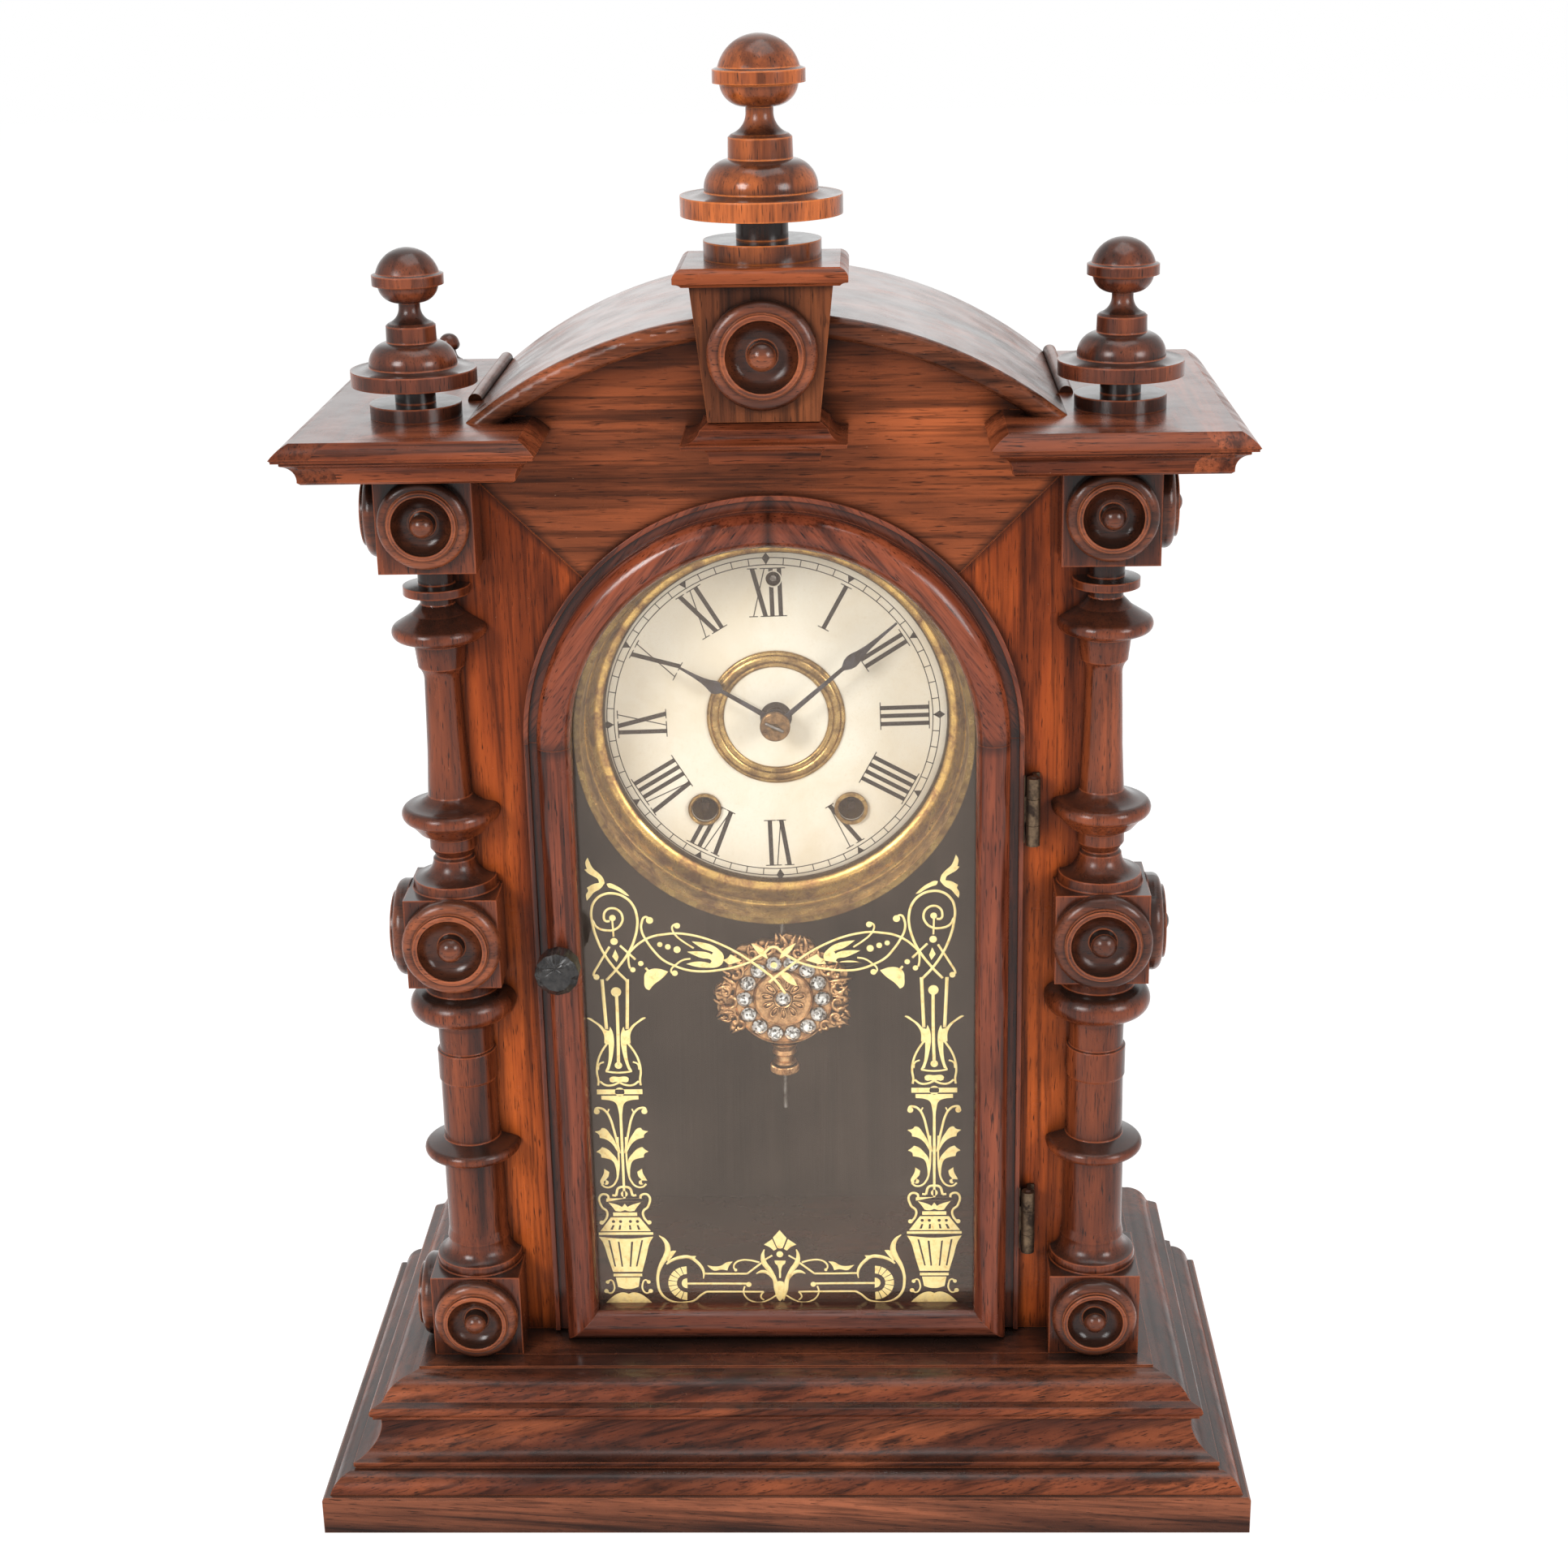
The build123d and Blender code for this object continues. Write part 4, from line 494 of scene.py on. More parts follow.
def paint(material, names):
    for name in names.split():
        data = nodes[name].data
        data.materials.clear()
        data.materials.append(material)


# New pieces

def finished(name, mesh, material, body):
    """Closes a bmesh into a piece that rides on a CAD body."""
    bmesh.ops.remove_doubles(mesh, verts=mesh.verts, dist=1e-7)
    bmesh.ops.recalc_face_normals(mesh, faces=mesh.faces)
    data = mesh_data(name, mesh)
    data.materials.append(material)
    piece = linked(name, data)
    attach(piece, body)
    return piece


def extruded(mesh, face, step):
    """Draws a face out by a step and gives back its new corners."""
    grown = bmesh.ops.extrude_face_region(mesh, geom=[face])["geom"]
    corners = [v for v in grown if isinstance(v, bmesh.types.BMVert)]
    bmesh.ops.translate(mesh, verts=corners, vec=step)
    return corners


def plate(mesh, outline, front, thickness):
    """A flat plate facing the viewer: its outline in x and z, drawn back by its thickness."""
    face = mesh.faces.new([mesh.verts.new(place(x, front, z)) for x, z in outline])
    extruded(mesh, face, place(0, thickness, 0))


def turned(mesh, profile, centre, steps=48, axis="Y"):
    """Spins a closed profile of (radius, depth) points about an axis through the centre."""
    if axis == "Y":
        points = [place(centre[0] + r, d, centre[1]) for r, d in profile]
        spindle, hub = (0, 1, 0), place(centre[0], 0, centre[1])
    else:
        points = [place(centre[0] + r, centre[1], d) for r, d in profile]
        spindle, hub = (0, 0, 1), place(centre[0], centre[1], 0)
    verts = [mesh.verts.new(p) for p in points]
    edges = [mesh.edges.new((a, b)) for a, b in zip(verts, verts[1:] + verts[:1])]
    bmesh.ops.spin(mesh, geom=verts + edges, cent=hub, axis=spindle, angle=FULL, steps=steps, use_merge=True)


# Dial print

DIAL_X, DIAL_Z, PAPER_RADIUS = -1.0, 278.1, 60.5
PRINT_TURN = -1.35
INK_FRONT, INK_DEPTH = -1.06, 0.07


def on_dial(degrees, along, across=0.0):
    """A point at a clock angle, a radius, and a distance to the right of that radius."""
    a = radians(degrees + PRINT_TURN)
    return DIAL_X + along * sin(a) + across * cos(a), DIAL_Z + along * cos(a) - across * sin(a)


def bar(mesh, degrees, foot, top, width):
    """A straight stroke whose ends follow the numeral's top and bottom lines."""
    (a, r0), (b, r1) = foot, top
    corners = ((a - width / 2, r0), (a + width / 2, r0), (b + width / 2, r1), (b - width / 2, r1))
    plate(mesh, [on_dial(degrees, r, x) for x, r in corners], INK_FRONT, INK_DEPTH)


SERIF_THIN, SERIF_I, SERIF_THICK, SERIF_HALF = 3.0, 4.2, 3.4, 0.16
LINE_HALF, TICK_WIDTH = 0.15, 0.3
HOLE_SHADE_INNER, HOLE_SHADE_OUTER = 3.75, 5.6
LETTER_HALF = {"I": 1.47, "X": 2.9, "V": 2.9}
# A letter's strokes: foot and top from its middle, and width
LETTER_STROKES = {
    "I": ((0, 0, 1.5),),
    "X": ((2.0, -2.0, 1.6), (-2.2, 2.2, 0.35)),
    "V": ((0.3, -2.0, 1.6), (0.5, 2.3, 0.35)),
}
NUMERAL_LOW, NUMERAL_HIGH = 0.622 * PAPER_RADIUS, 0.904 * PAPER_RADIUS
TRACK_INNER, TRACK_OUTER = 0.926 * PAPER_RADIUS, 0.967 * PAPER_RADIUS
# Holes through the print: x, z and radius
PRINT_HOLES = ((0, 329, 3.0), (26, 245, 5.6), (-26, 245, 5.6))


def numeral(mesh, degrees, letters):
    x = -sum(LETTER_HALF[c] for c in letters)
    for c in letters:
        x += LETTER_HALF[c]
        for foot, top, width in LETTER_STROKES[c]:
            bar(mesh, degrees, (x + foot, NUMERAL_LOW), (x + top, NUMERAL_HIGH), width)
            serif = SERIF_THIN if width < 1 else SERIF_I if c == "I" else SERIF_THICK
            for end, r in ((foot, NUMERAL_LOW), (top, NUMERAL_HIGH)):
                bar(mesh, degrees, (x + end, r - SERIF_HALF), (x + end, r + SERIF_HALF), serif)
        x += LETTER_HALF[c]


def ink_ring(mesh, inner, outer, centre, steps):
    back = INK_FRONT + INK_DEPTH
    turned(mesh, [(inner, INK_FRONT), (outer, INK_FRONT), (outer, back), (inner, back)], centre, steps)


def punched(piece):
    """Cuts the winding and regulator holes through the print."""
    punch = bmesh.new()
    for x, z, radius in PRINT_HOLES:
        upright = Matrix.Translation(place(x, -1, z)) @ Matrix.Rotation(pi / 2, 4, "X")
        size = dict(radius1=radius * MM, radius2=radius * MM, depth=2 * MM)
        bmesh.ops.create_cone(punch, cap_ends=True, segments=40, matrix=upright, **size)
    cutter = linked("hole_punch", mesh_data("hole_punch", punch))
    cut = piece.modifiers.new("holes", "BOOLEAN")
    cut.operation, cut.object, cut.solver = "DIFFERENCE", cutter, "EXACT"
    cut.use_self = True
    done = evaluated(piece)
    piece.modifiers.clear()
    piece.data = done
    bpy.data.objects.remove(cutter)


def dial_print():
    mesh = bmesh.new()
    for hour, letters in enumerate("XII I II III IIII V VI VII VIII IX X XI".split()):
        # The paper's II stands a little anticlockwise of its place
        numeral(mesh, hour * 30 - (1.2 if hour == 2 else 0.0), letters)
    for r in (TRACK_INNER, TRACK_OUTER):
        ink_ring(mesh, r - LINE_HALF, r + LINE_HALF, (DIAL_X, DIAL_Z), 180)
    # Painted shade: a dark ink ring that widens the centre hole's dark opening
    ink_ring(mesh, HOLE_SHADE_INNER, HOLE_SHADE_OUTER, (0.0, HANDS_Z), 48)
    for minute in range(60):
        angle = minute * 6
        bar(mesh, angle, (0, TRACK_INNER), (0, TRACK_OUTER), TICK_WIDTH)
        tips = ()
        if minute % 15 == 0:
            side = TRACK_OUTER - 0.1
            tips = ((0, TRACK_INNER + 0.1), (1.4, side), (0, TRACK_OUTER + 1.8), (-1.4, side))
        elif minute % 5 == 0:
            tips = ((0, TRACK_INNER + 0.1), (1.35, TRACK_OUTER), (-1.35, TRACK_OUTER))
        if tips:
            plate(mesh, [on_dial(angle, r, x) for x, r in tips], INK_FRONT, INK_DEPTH)
    punched(finished("dial_print", mesh, printers_ink(), "case"))


# Gilt border on the back of the glass. Its points are pairs of x and z, in tenths of a millimetre.
# A stroke's row starts with its width in millimetres, and a ball is x, z and radius in millimetres.

GILT_BACK = -25.94
BORDER_MIDDLE = -1.7
STEM_MIDDLE = -58.2

SCROLLS = (
    (1.06, -612, 1898, -576, 1938, -528, 2005, -506, 2054, -494, 2106, -494, 2142, -506, 2183, -531, 2212,
     -569, 2228, -608, 2225, -638, 2203, -653, 2168, -651, 2112, -639, 2060, -614, 1998, -576, 1938,
     -540, 1897),
    (0.96, -650, 2127, -637, 2102, -603, 2089, -572, 2093, -549, 2116, -545, 2142, -556, 2163, -578, 2173,
     -600, 2166, -610, 2145, -605, 2125, -590, 2124),
    (0.77, -581, 2127, -579, 2065),
    (0.96, -595, 2027, -614, 1996, -642, 1949, -654, 1928, -657, 1915),
    (0.96, -558, 2031, -505, 1977),
    (0.96, -471, 1945, -459, 1930),
    (0.87, -529, 2003, -530, 1966, -526, 1943),
    (0.96, -451, 2132, -465, 2139, -478, 2118, -479, 2085, -464, 2049, -437, 2007, -409, 1976, -371, 1954,
     -324, 1936, -267, 1930, -209, 1935, -147, 1948, -99, 1965),
    (0.96, -533, 1995, -513, 2018, -483, 2044, -444, 2064, -396, 2073, -358, 2076, -320, 2072, -263, 2058,
     -207, 2035, -145, 2001, -99, 1968),
    (0.77, -359, 2112, -371, 2102, -369, 2084, -358, 2066, -335, 2045, -298, 2019),
    (0.77, -373, 1919, -381, 1934, -362, 1957, -337, 1974, -311, 1979),
)
SCROLL_BALLS = [
    (-58, 213.6, 1.16), (-57.8, 204.7, 1.3), (-64.6, 191.1, 1.06), (-48.7, 196.2, 0.96),
    (-51.6, 193.8, 0.96), (-45, 212.6, 1.25), (-35.4, 210.5, 1.06), (-41.7, 203.4, 0.92),
    (-38.9, 202.5, 1.01), (-35.7, 201.4, 1.25), (-36.8, 192.4, 1.06),
]
SCROLL_LEAVES = (
    (-575, 2016, -564, 1987, -572, 1968, -587, 1990),
    (-477, 1898, -473, 1924, -458, 1937, -429, 1942, -391, 1930, -404, 1914, -421, 1898, -441, 1883,
     -461, 1859, -473, 1867),
    (-657, 2364, -651, 2346, -640, 2323, -622, 2306, -606, 2285, -602, 2267, -618, 2247, -642, 2232,
     -652, 2219, -667, 2202, -669, 2225, -661, 2240, -665, 2251, -640, 2265, -621, 2269, -625, 2283,
     -639, 2293, -658, 2305, -670, 2319, -662, 2321, -666, 2346),
    (-595, 2265, -584, 2267, -565, 2259, -542, 2244, -517, 2219, -528, 2221, -552, 2236, -575, 2247,
     -589, 2252),
    (-304, 2045, -271, 2041, -235, 2031, -210, 2013, -194, 1992, -194, 1974, -202, 1956, -219, 1946,
     -247, 1944, -286, 1947, -326, 1959, -297, 1967, -261, 1966, -242, 1960, -236, 1969, -242, 1976,
     -270, 1981, -298, 1993, -322, 2006, -284, 2007, -246, 2001, -235, 1994, -230, 2003, -241, 2008,
     -264, 2016, -288, 2032),
    (-196, 1974, -182, 1979, -169, 1994, -129, 1971, -163, 1959, -175, 1955),
)
STEM_STROKES = (
    (1.4, -537, 1902, -541, 1803, -545, 1708),
    (0.91, -544, 1652, -522, 1617, -508, 1581, -503, 1539, -507, 1507, -505, 1487),
    (0.74, -508, 1549, -513, 1571, -530, 1580),
    (0.91, -581, 1498, -558, 1488, -533, 1488, -512, 1503),
    (0.83, -582, 1537, -556, 1539, -535, 1543),
    (0.99, -498, 1382, -492, 1393, -511, 1396, -529, 1383, -542, 1359, -555, 1308, -564, 1262, -572, 1215),
    (0.58, -541, 1393, -534, 1378),
    (0.83, -567, 1280, -568, 1210, -564, 1139, -555, 1102, -537, 1080, -515, 1077, -500, 1089),
    (1.07, -582, 1079, -562, 1073, -554, 1052, -552, 1042),
    (0.99, -552, 1042, -538, 1044),
    (0.99, -524, 1030, -520, 1044, -495, 1044, -497, 997, -515, 978, -514, 954, -500, 932),
    (0.74, -507, 686, -519, 692, -529, 674, -528, 650, -515, 637, -501, 644),
)
STEM_SPINE = (1.24, -578, 1848, -578, 1767, -579, 1668, -582, 1567)
STEM_BALLS = [
    (-49.6, 138.3, 1.07), (-51.8, 109.6, 0.91), (-49.5, 93.2, 0.83), (-50.6, 68.4, 0.7), (-50, 64.6, 0.83),
]
STEM_MIDDLE_BALLS = [
    (-58.2, 156.6, 1.32), (-57.9, 185.3, 1.82), (-58.2, 146.1, 1.73), (-58.2, 104.9, 1.24),
]
STEM_LEAVES = (
    (-476, 1752, -484, 1754, -507, 1739, -528, 1722, -541, 1706, -554, 1702, -558, 1718, -566, 1699,
     -570, 1663, -566, 1622, -559, 1586, -548, 1549, -533, 1543, -543, 1567, -549, 1604, -550, 1649,
     -535, 1654, -534, 1690, -516, 1722, -495, 1739),
    (-559, 1257, -541, 1292, -523, 1315, -511, 1317, -506, 1309, -485, 1303, -500, 1290, -502, 1278,
     -525, 1271, -547, 1252, -560, 1229, -567, 1215),
    (-562, 1187, -544, 1215, -526, 1233, -509, 1240, -502, 1232, -487, 1221, -502, 1212, -505, 1198,
     -528, 1193, -545, 1184, -555, 1158, -558, 1120, -564, 1139),
    (-531, 1139, -513, 1152, -511, 1134, -502, 1115, -496, 1099, -502, 1087, -515, 1092, -518, 1108,
     -527, 1120),
)
# Right halves of the shapes that the stem's middle line divides, each from its top to its foot
STEM_HALVES = (
    (-582, 1520, -555, 1521, -547, 1514, -549, 1503, -558, 1499, -570, 1501, -582, 1498),
    (-582, 1446, -515, 1446, -515, 1431, -548, 1427, -565, 1418, -573, 1397, -577, 1308, -577, 1215,
     -578, 1031, -582, 1031),
    (-582, 1009, -572, 995, -561, 1002, -522, 1015, -536, 997, -547, 980, -566, 978, -582, 983),
    (-582, 703, -537, 703, -544, 664, -572, 655, -582, 655),
    (-582, 634, -566, 640, -541, 635, -516, 617, -496, 596, -582, 596),
)
# Plain bars across the stem: top, foot and right end
STEM_BARS = ((1471, 1452, -500), (1031, 1017, -515), (973, 959, -538), (891, 881, -482), (719, 708, -529))
URN_SHOULDER = (-635, 953, -530, 953, -490, 896, -676, 896)
URN_BODY = (-682, 873, -582, 864, -482, 873, -496, 848, -511, 790, -528, 727, -636, 727, -653, 790, -668, 848)
SHOULDER_HOLES = (
    (-630, 921, -622, 921, -630, 902, -639, 902),
    (-605, 921, -598, 921, -601, 902, -609, 902),
    (-570, 921, -563, 921, -561, 902, -569, 902),
    (-542, 921, -535, 921, -528, 902, -537, 902),
)
BODY_HOLES = (
    (-649, 859, -642, 858, -624, 749, -630, 749),
    (-614, 853, -607, 852, -598, 748, -604, 748),
    (-565, 852, -557, 853, -568, 748, -574, 748),
    (-527, 858, -520, 859, -545, 749, -551, 749),
)
# Scrolls at the foot that swell, each point with its own width in millimetres
FOOT_SCROLLS = (
    [(-46.1, 87.7, 0.4), (-44.3, 86, 1.4), (-43.1, 82.9, 2.3), (-43.6, 79.5, 2.7), (-45.5, 76.1, 1.9),
     (-46.9, 72.2, 1.3), (-47.2, 68.3, 1.2), (-46.3, 63.9, 1.1), (-43.8, 61, 1), (-40.4, 59.7, 0.9),
     (-37.4, 59.7, 0.9), (-34, 60.5, 0.9), (-31.3, 62.9, 0.9), (-29.3, 64.2, 0.9)],
    [(-29.3, 64.2, 0.9), (-22.2, 64.2, 0.9), (-8.1, 64.1, 0.8)],
    [(-43.8, 75.8, 0.8), (-41.6, 77.5, 1.3), (-38.1, 78.7, 1.6), (-35.1, 78.7, 1.5), (-32.8, 77, 1.4),
     (-30.9, 74.6, 1.3), (-30.1, 72.2, 1), (-30.3, 69.7, 0.4)],
    [(-18.4, 73.2, 0.7), (-19, 74.5, 0.7), (-18.3, 76.2, 0.8), (-16.3, 77.3, 0.8), (-12.9, 77.3, 0.8),
     (-9.5, 76.4, 0.9)],
    [(-7.6, 81.8, 0.4), (-8.2, 79.3, 1.5), (-7.8, 76.4, 2.3), (-5.7, 73, 2.1), (-4, 69.1, 1.8),
     (-3.4, 65.2, 2.1), (-2.5, 60.4, 0.5)],
    [(-10.8, 71.7, 0.4), (-8.7, 72.6, 1.5), (-6.6, 72.1, 1.5), (-4.7, 70.1, 1.2)],
)
FOOT_LINES = (
    (0.9, -297, 718, -220, 717, -141, 717),
    (0.9, -141, 717, -87, 762),
    (1, -363, 676, -264, 676, -136, 675),
    (0.7, -151, 665, -156, 643, -148, 619, -125, 601, -95, 596, -60, 609, -36, 626),
    (0.7, -81, 641, -89, 632, -92, 618, -81, 606),
    (0.8, -47, 793, -73, 776),
)
FOOT_LEAVES = (
    (-288, 753, -262, 748, -237, 751, -215, 765, -193, 768, -207, 750, -214, 731, -233, 735, -263, 731,
     -277, 741),
    (-419, 812, -399, 814, -415, 790, -433, 768, -436, 790),
    (-347, 792, -327, 792, -334, 780, -351, 778),
    (-46, 861, -30, 820, -41, 813, -55, 827, -76, 838),
)
FOOT_BALLS = [(-13.6, 67.2, 0.99), (-18.3, 73.3, 0.58)]
MIDDLE_BALLS = [(-1.9, 79.8, 1.24), (-1.7, 195.2, 1.16)]
DOTS_Z, DOT_RADIUS, DOTS_X = 93.6, 0.6, (-62.6, -60.0, -56.4, -53.8)
MIDDLE_LEAVES = (
    (-18, 898, 7, 865, -8, 824, -18, 822, -28, 825, -43, 867),
    (-39, 772, 2, 771, -1, 759, -10, 750, -17, 699, -23, 699, -28, 750, -36, 759),
    (-35, 682, -21, 686, -7, 682, -4, 643, -8, 618, -22, 601, -35, 618, -39, 643),
    (-96, 2036, -67, 2021, -50, 2007, -37, 1976, -57, 1987, -75, 2003),
    (62, 2036, 33, 2021, 16, 2007, 3, 1976, 23, 1987, 41, 2003),
    (1, 1925, 30, 1922, 50, 1902, 65, 1871, 37, 1882, 15, 1902),
)
STAR_STROKES = (
    (1.1, -99, 1968, -55, 1994, -17, 2022, 21, 1994, 65, 1968),
    (1.1, -99, 1968, -56, 1934, -14, 1895, 22, 1842),
    (1.1, 65, 1968, 22, 1934, -17, 1902, -36, 1886),
)
FAN_MIDDLE, FAN_INNER, FAN_OUTER, FAN_HUB = (-36.3, 67.8), 3.9, 7.1, 2.1
FAN_RIBS, FAN_START, FAN_STEP, RIB_WIDTH = 9, 91, 20, 17


def settled(curve, name):
    """The mesh of a curve that is drawn flat, and the curve gone."""
    obj = linked(name, curve)
    data = evaluated(obj)
    bpy.data.objects.remove(obj)
    return data


def drawn(name, rows, steps, smooth=1, scale=0.5):
    """The mesh of rounded lines: each row holds points of x, y, z and width, in millimetres."""
    curve = bpy.data.curves.new(name, "CURVE")
    curve.dimensions = "3D"
    curve.bevel_depth, curve.bevel_resolution, curve.resolution_u = scale * MM, smooth, steps
    curve.use_fill_caps = True
    for row in rows:
        line = curve.splines.new("BEZIER")
        line.bezier_points.add(len(row) - 1)
        for point, (x, y, z, width) in zip(line.bezier_points, row):
            point.co = place(x, y, z)
            point.handle_left_type = point.handle_right_type = "AUTO"
            point.radius = width
    return settled(curve, name)


def at_depth(depth, row):
    return [(x, depth, z, width) for x, z, width in row]


def leaf_mesh(shapes):
    """Filled outlines, each a list of rings: the first is the edge, the rest are holes."""
    curve = bpy.data.curves.new("gilt_leaves", "CURVE")
    curve.dimensions, curve.fill_mode = "2D", "BOTH"
    curve.extrude, curve.resolution_u = 0.03 * MM, 4
    for rings in shapes:
        for ring in rings:
            line = curve.splines.new("BEZIER")
            line.bezier_points.add(len(ring) - 1)
            line.use_cyclic_u = True
            for i, point in enumerate(line.bezier_points):
                x, z = ring[i]
                (ax, az), (bx, bz) = ring[i - 1], ring[(i + 1) % len(ring)]
                u, v = Vector((x - ax, z - az)), Vector((bx - x, bz - z))
                sharp = u.angle(v, pi) > radians(50)
                point.co = (x * MM, z * MM, 0)
                kind = "VECTOR" if sharp or len(ring) == 4 else "AUTO"
                point.handle_left_type = point.handle_right_type = kind
    data = settled(curve, "gilt_leaves")
    data.transform(Matrix.Rotation(pi / 2, 4, "X"))
    return data


def points(row):
    """Points in millimetres, from a flat row of tenths."""
    return [(x / 10, z / 10) for x, z in zip(row[::2], row[1::2])]


def even(rows):
    """Strokes of one width each, which starts the row."""
    return [[(x, z, width) for x, z in points(row)] for width, *row in rows]


def mirrored(rows, middle):
    return [[(2 * middle - p[0], *p[1:]) for p in row] for row in rows]


def around(middle, radius, angle):
    return middle[0] + radius * cos(angle), middle[1] + radius * sin(angle)


def disc(x, z, radius, count=14):
    return [around((x, z), radius, FULL * i / count) for i in range(count)]


def gilt_border():
    stems = even(STEM_STROKES)
    strokes = even(SCROLLS) + stems + mirrored(stems, STEM_MIDDLE) + even(FOOT_LINES)
    strokes += [*FOOT_SCROLLS, *even([STEM_SPINE])]
    balls = SCROLL_BALLS + STEM_BALLS + [(2 * STEM_MIDDLE - x, z, r) for x, z, r in STEM_BALLS]
    balls += STEM_MIDDLE_BALLS + FOOT_BALLS
    leaves = [[points(row)] for row in SCROLL_LEAVES + STEM_LEAVES + FOOT_LEAVES]
    leaves += [mirrored([points(row)], STEM_MIDDLE) for row in STEM_LEAVES]
    halves = [points(row) for row in STEM_HALVES]
    halves += [points((-582, top, end, top, end, foot, -582, foot)) for top, foot, end in STEM_BARS]
    leaves += [[half + mirrored([half], STEM_MIDDLE)[0][::-1]] for half in halves]
    dots = [disc(x, DOTS_Z, DOT_RADIUS, 8) for x in DOTS_X]
    leaves.append([points(row) for row in (URN_SHOULDER, *SHOULDER_HOLES)] + dots)
    leaves.append([points(row) for row in (URN_BODY, *BODY_HOLES)])
    for i in range(FAN_RIBS):
        a = radians(FAN_START + i * FAN_STEP)
        b = a + radians(RIB_WIDTH)
        corners = ((FAN_INNER, a), (FAN_OUTER, a), (FAN_OUTER, b), (FAN_INNER, b))
        leaves.append([[around(FAN_MIDDLE, r, t) for r, t in corners]])
    leaves.append([[around(FAN_MIDDLE, FAN_HUB, t) for t in (pi / 2, 2.2, 2.8, 3.5, 4.1, 3 * pi / 2)]])
    leaves += [[disc(*ball)] for ball in balls]
    strokes += mirrored(strokes, BORDER_MIDDLE) + even(STAR_STROKES)
    leaves += [mirrored(rings, BORDER_MIDDLE) for rings in leaves]
    leaves += [[points(row)] for row in MIDDLE_LEAVES] + [[disc(*ball)] for ball in MIDDLE_BALLS]
    mesh = bmesh.new()
    lines = drawn("gilt_strokes", [at_depth(0, row) for row in strokes], 5)
    lines.transform(Matrix.Scale(0.06, 4, (0, 1, 0)))
    mesh.from_mesh(lines)
    mesh.from_mesh(leaf_mesh(leaves))
    bmesh.ops.translate(mesh, verts=mesh.verts, vec=place(0, GILT_BACK, 0))
    finished("gilt_border", mesh, gold_leaf(), "door")


# Pendulum bob: cut-glass stones round a cast rosette, with scrollwork at its top and sides

BOB_Z, BOB_FACE, BOB_BACK = 166.0, 10.6, 16.4
STONE_COUNT, STONE_RING, STONE_RADIUS = 14, 14.4, 3.0
PETALS, PETAL_RING = 11, 5.9
SCROLL_COUNT, SCROLL_SWEEP = 26, 248
BEAD_COUNT, BEAD_SWEEP = 56, 252
SPINDLE = (0.0, 13.0)
# Turned profiles: radius from the bob's middle and depth behind its face
BOB_SECTION = ((10.2, 0.0), (10.8, -0.7), (11.3, 0.3), (17.6, 0.3), (18.1, -0.5), (18.7, 0.3), (18.9, 1.6))
MIDDLE_COLLET = ((2.9, 0.2), (2.9, -0.8), (3.3, -1.1), (3.7, 0.2))
STONE_COLLET = ((2.9, 0.5), (2.9, -0.5), (3.2, 0.5))
# The neck under the bob: radius and height
NECK = ((0.95, 147.5), (5.2, 147.5), (4.2, 145.2), (4.6, 143.6), (3.4, 142.6), (3.4, 140.8), (4.3, 140.2),
        (4.3, 139.4), (0.95, 139.4))
NUT_TEETH, NUT_RADIUS, TOOTH_SHARE = 44, 5.1, 0.94
# The nut's steps: rise and change of radius
NUT_STEPS = ((0.4, 1.06), (2.0, 1.0), (0.4, 0.94))


def round_bob(degrees, along):
    """A point of the bob at a clock angle and a radius."""
    return along * sin(radians(degrees)), BOB_Z + along * cos(radians(degrees))


def wing(degrees):
    """How far the scrollwork reaches past the disc at a clock angle."""
    away = abs((degrees + 180) % 360 - 180)
    share = min(1.0, max(0.0, (134 - away) / 16))
    return share * (6.4 + 1.0 * sin(radians(degrees * 7)) + 0.7 * sin(radians(degrees * 17 + 40)))


def stone_places():
    return [round_bob(360 * (i + 0.5) / STONE_COUNT, STONE_RING) for i in range(STONE_COUNT)]


def stones():
    mesh = bmesh.new()
    size = dict(radius1=STONE_RADIUS * MM, radius2=1.5 * MM, depth=1.5 * MM)
    for i, (x, z) in enumerate([(0.0, BOB_Z)] + stone_places()):
        turn = Matrix.Rotation(pi / 2, 4, "X") @ Matrix.Rotation(i * 0.7, 4, "Z")
        seat = Matrix.Translation(place(x, BOB_FACE - 0.9, z)) @ turn
        made = bmesh.ops.create_cone(mesh, cap_ends=True, segments=16, matrix=seat, **size)
        touched = {f for v in made["verts"] for f in v.link_faces}
        front = [f for f in touched if f.calc_center_median().y < (BOB_FACE - 1.6) * MM]
        bmesh.ops.poke(mesh, faces=front, offset=0.12 * MM)
    finished("bob_stones", mesh, brilliant_glass(), "bob")


def scroll(degrees, along, size, turn, hand):
    """One cast C scroll, as a row of points that curl in."""
    middle = round_bob(degrees, along)
    curl = [around(middle, size * (1.0 - i * 0.1), turn + hand * i * 0.66) for i in range(9)]
    return [(x, z, 1.7 - i * 0.11) for i, (x, z) in enumerate(curl)]


def petal(degrees):
    a = radians(degrees)
    loop = []
    for j in range(11):
        t = j * pi / 5
        across, along = 1.35 * cos(t) * (0.75 + 0.25 * sin(t)), 6.0 + 2.15 * sin(t)
        loop.append((across * cos(a) + along * sin(a), BOB_Z - across * sin(a) + along * cos(a), 0.62))
    return loop


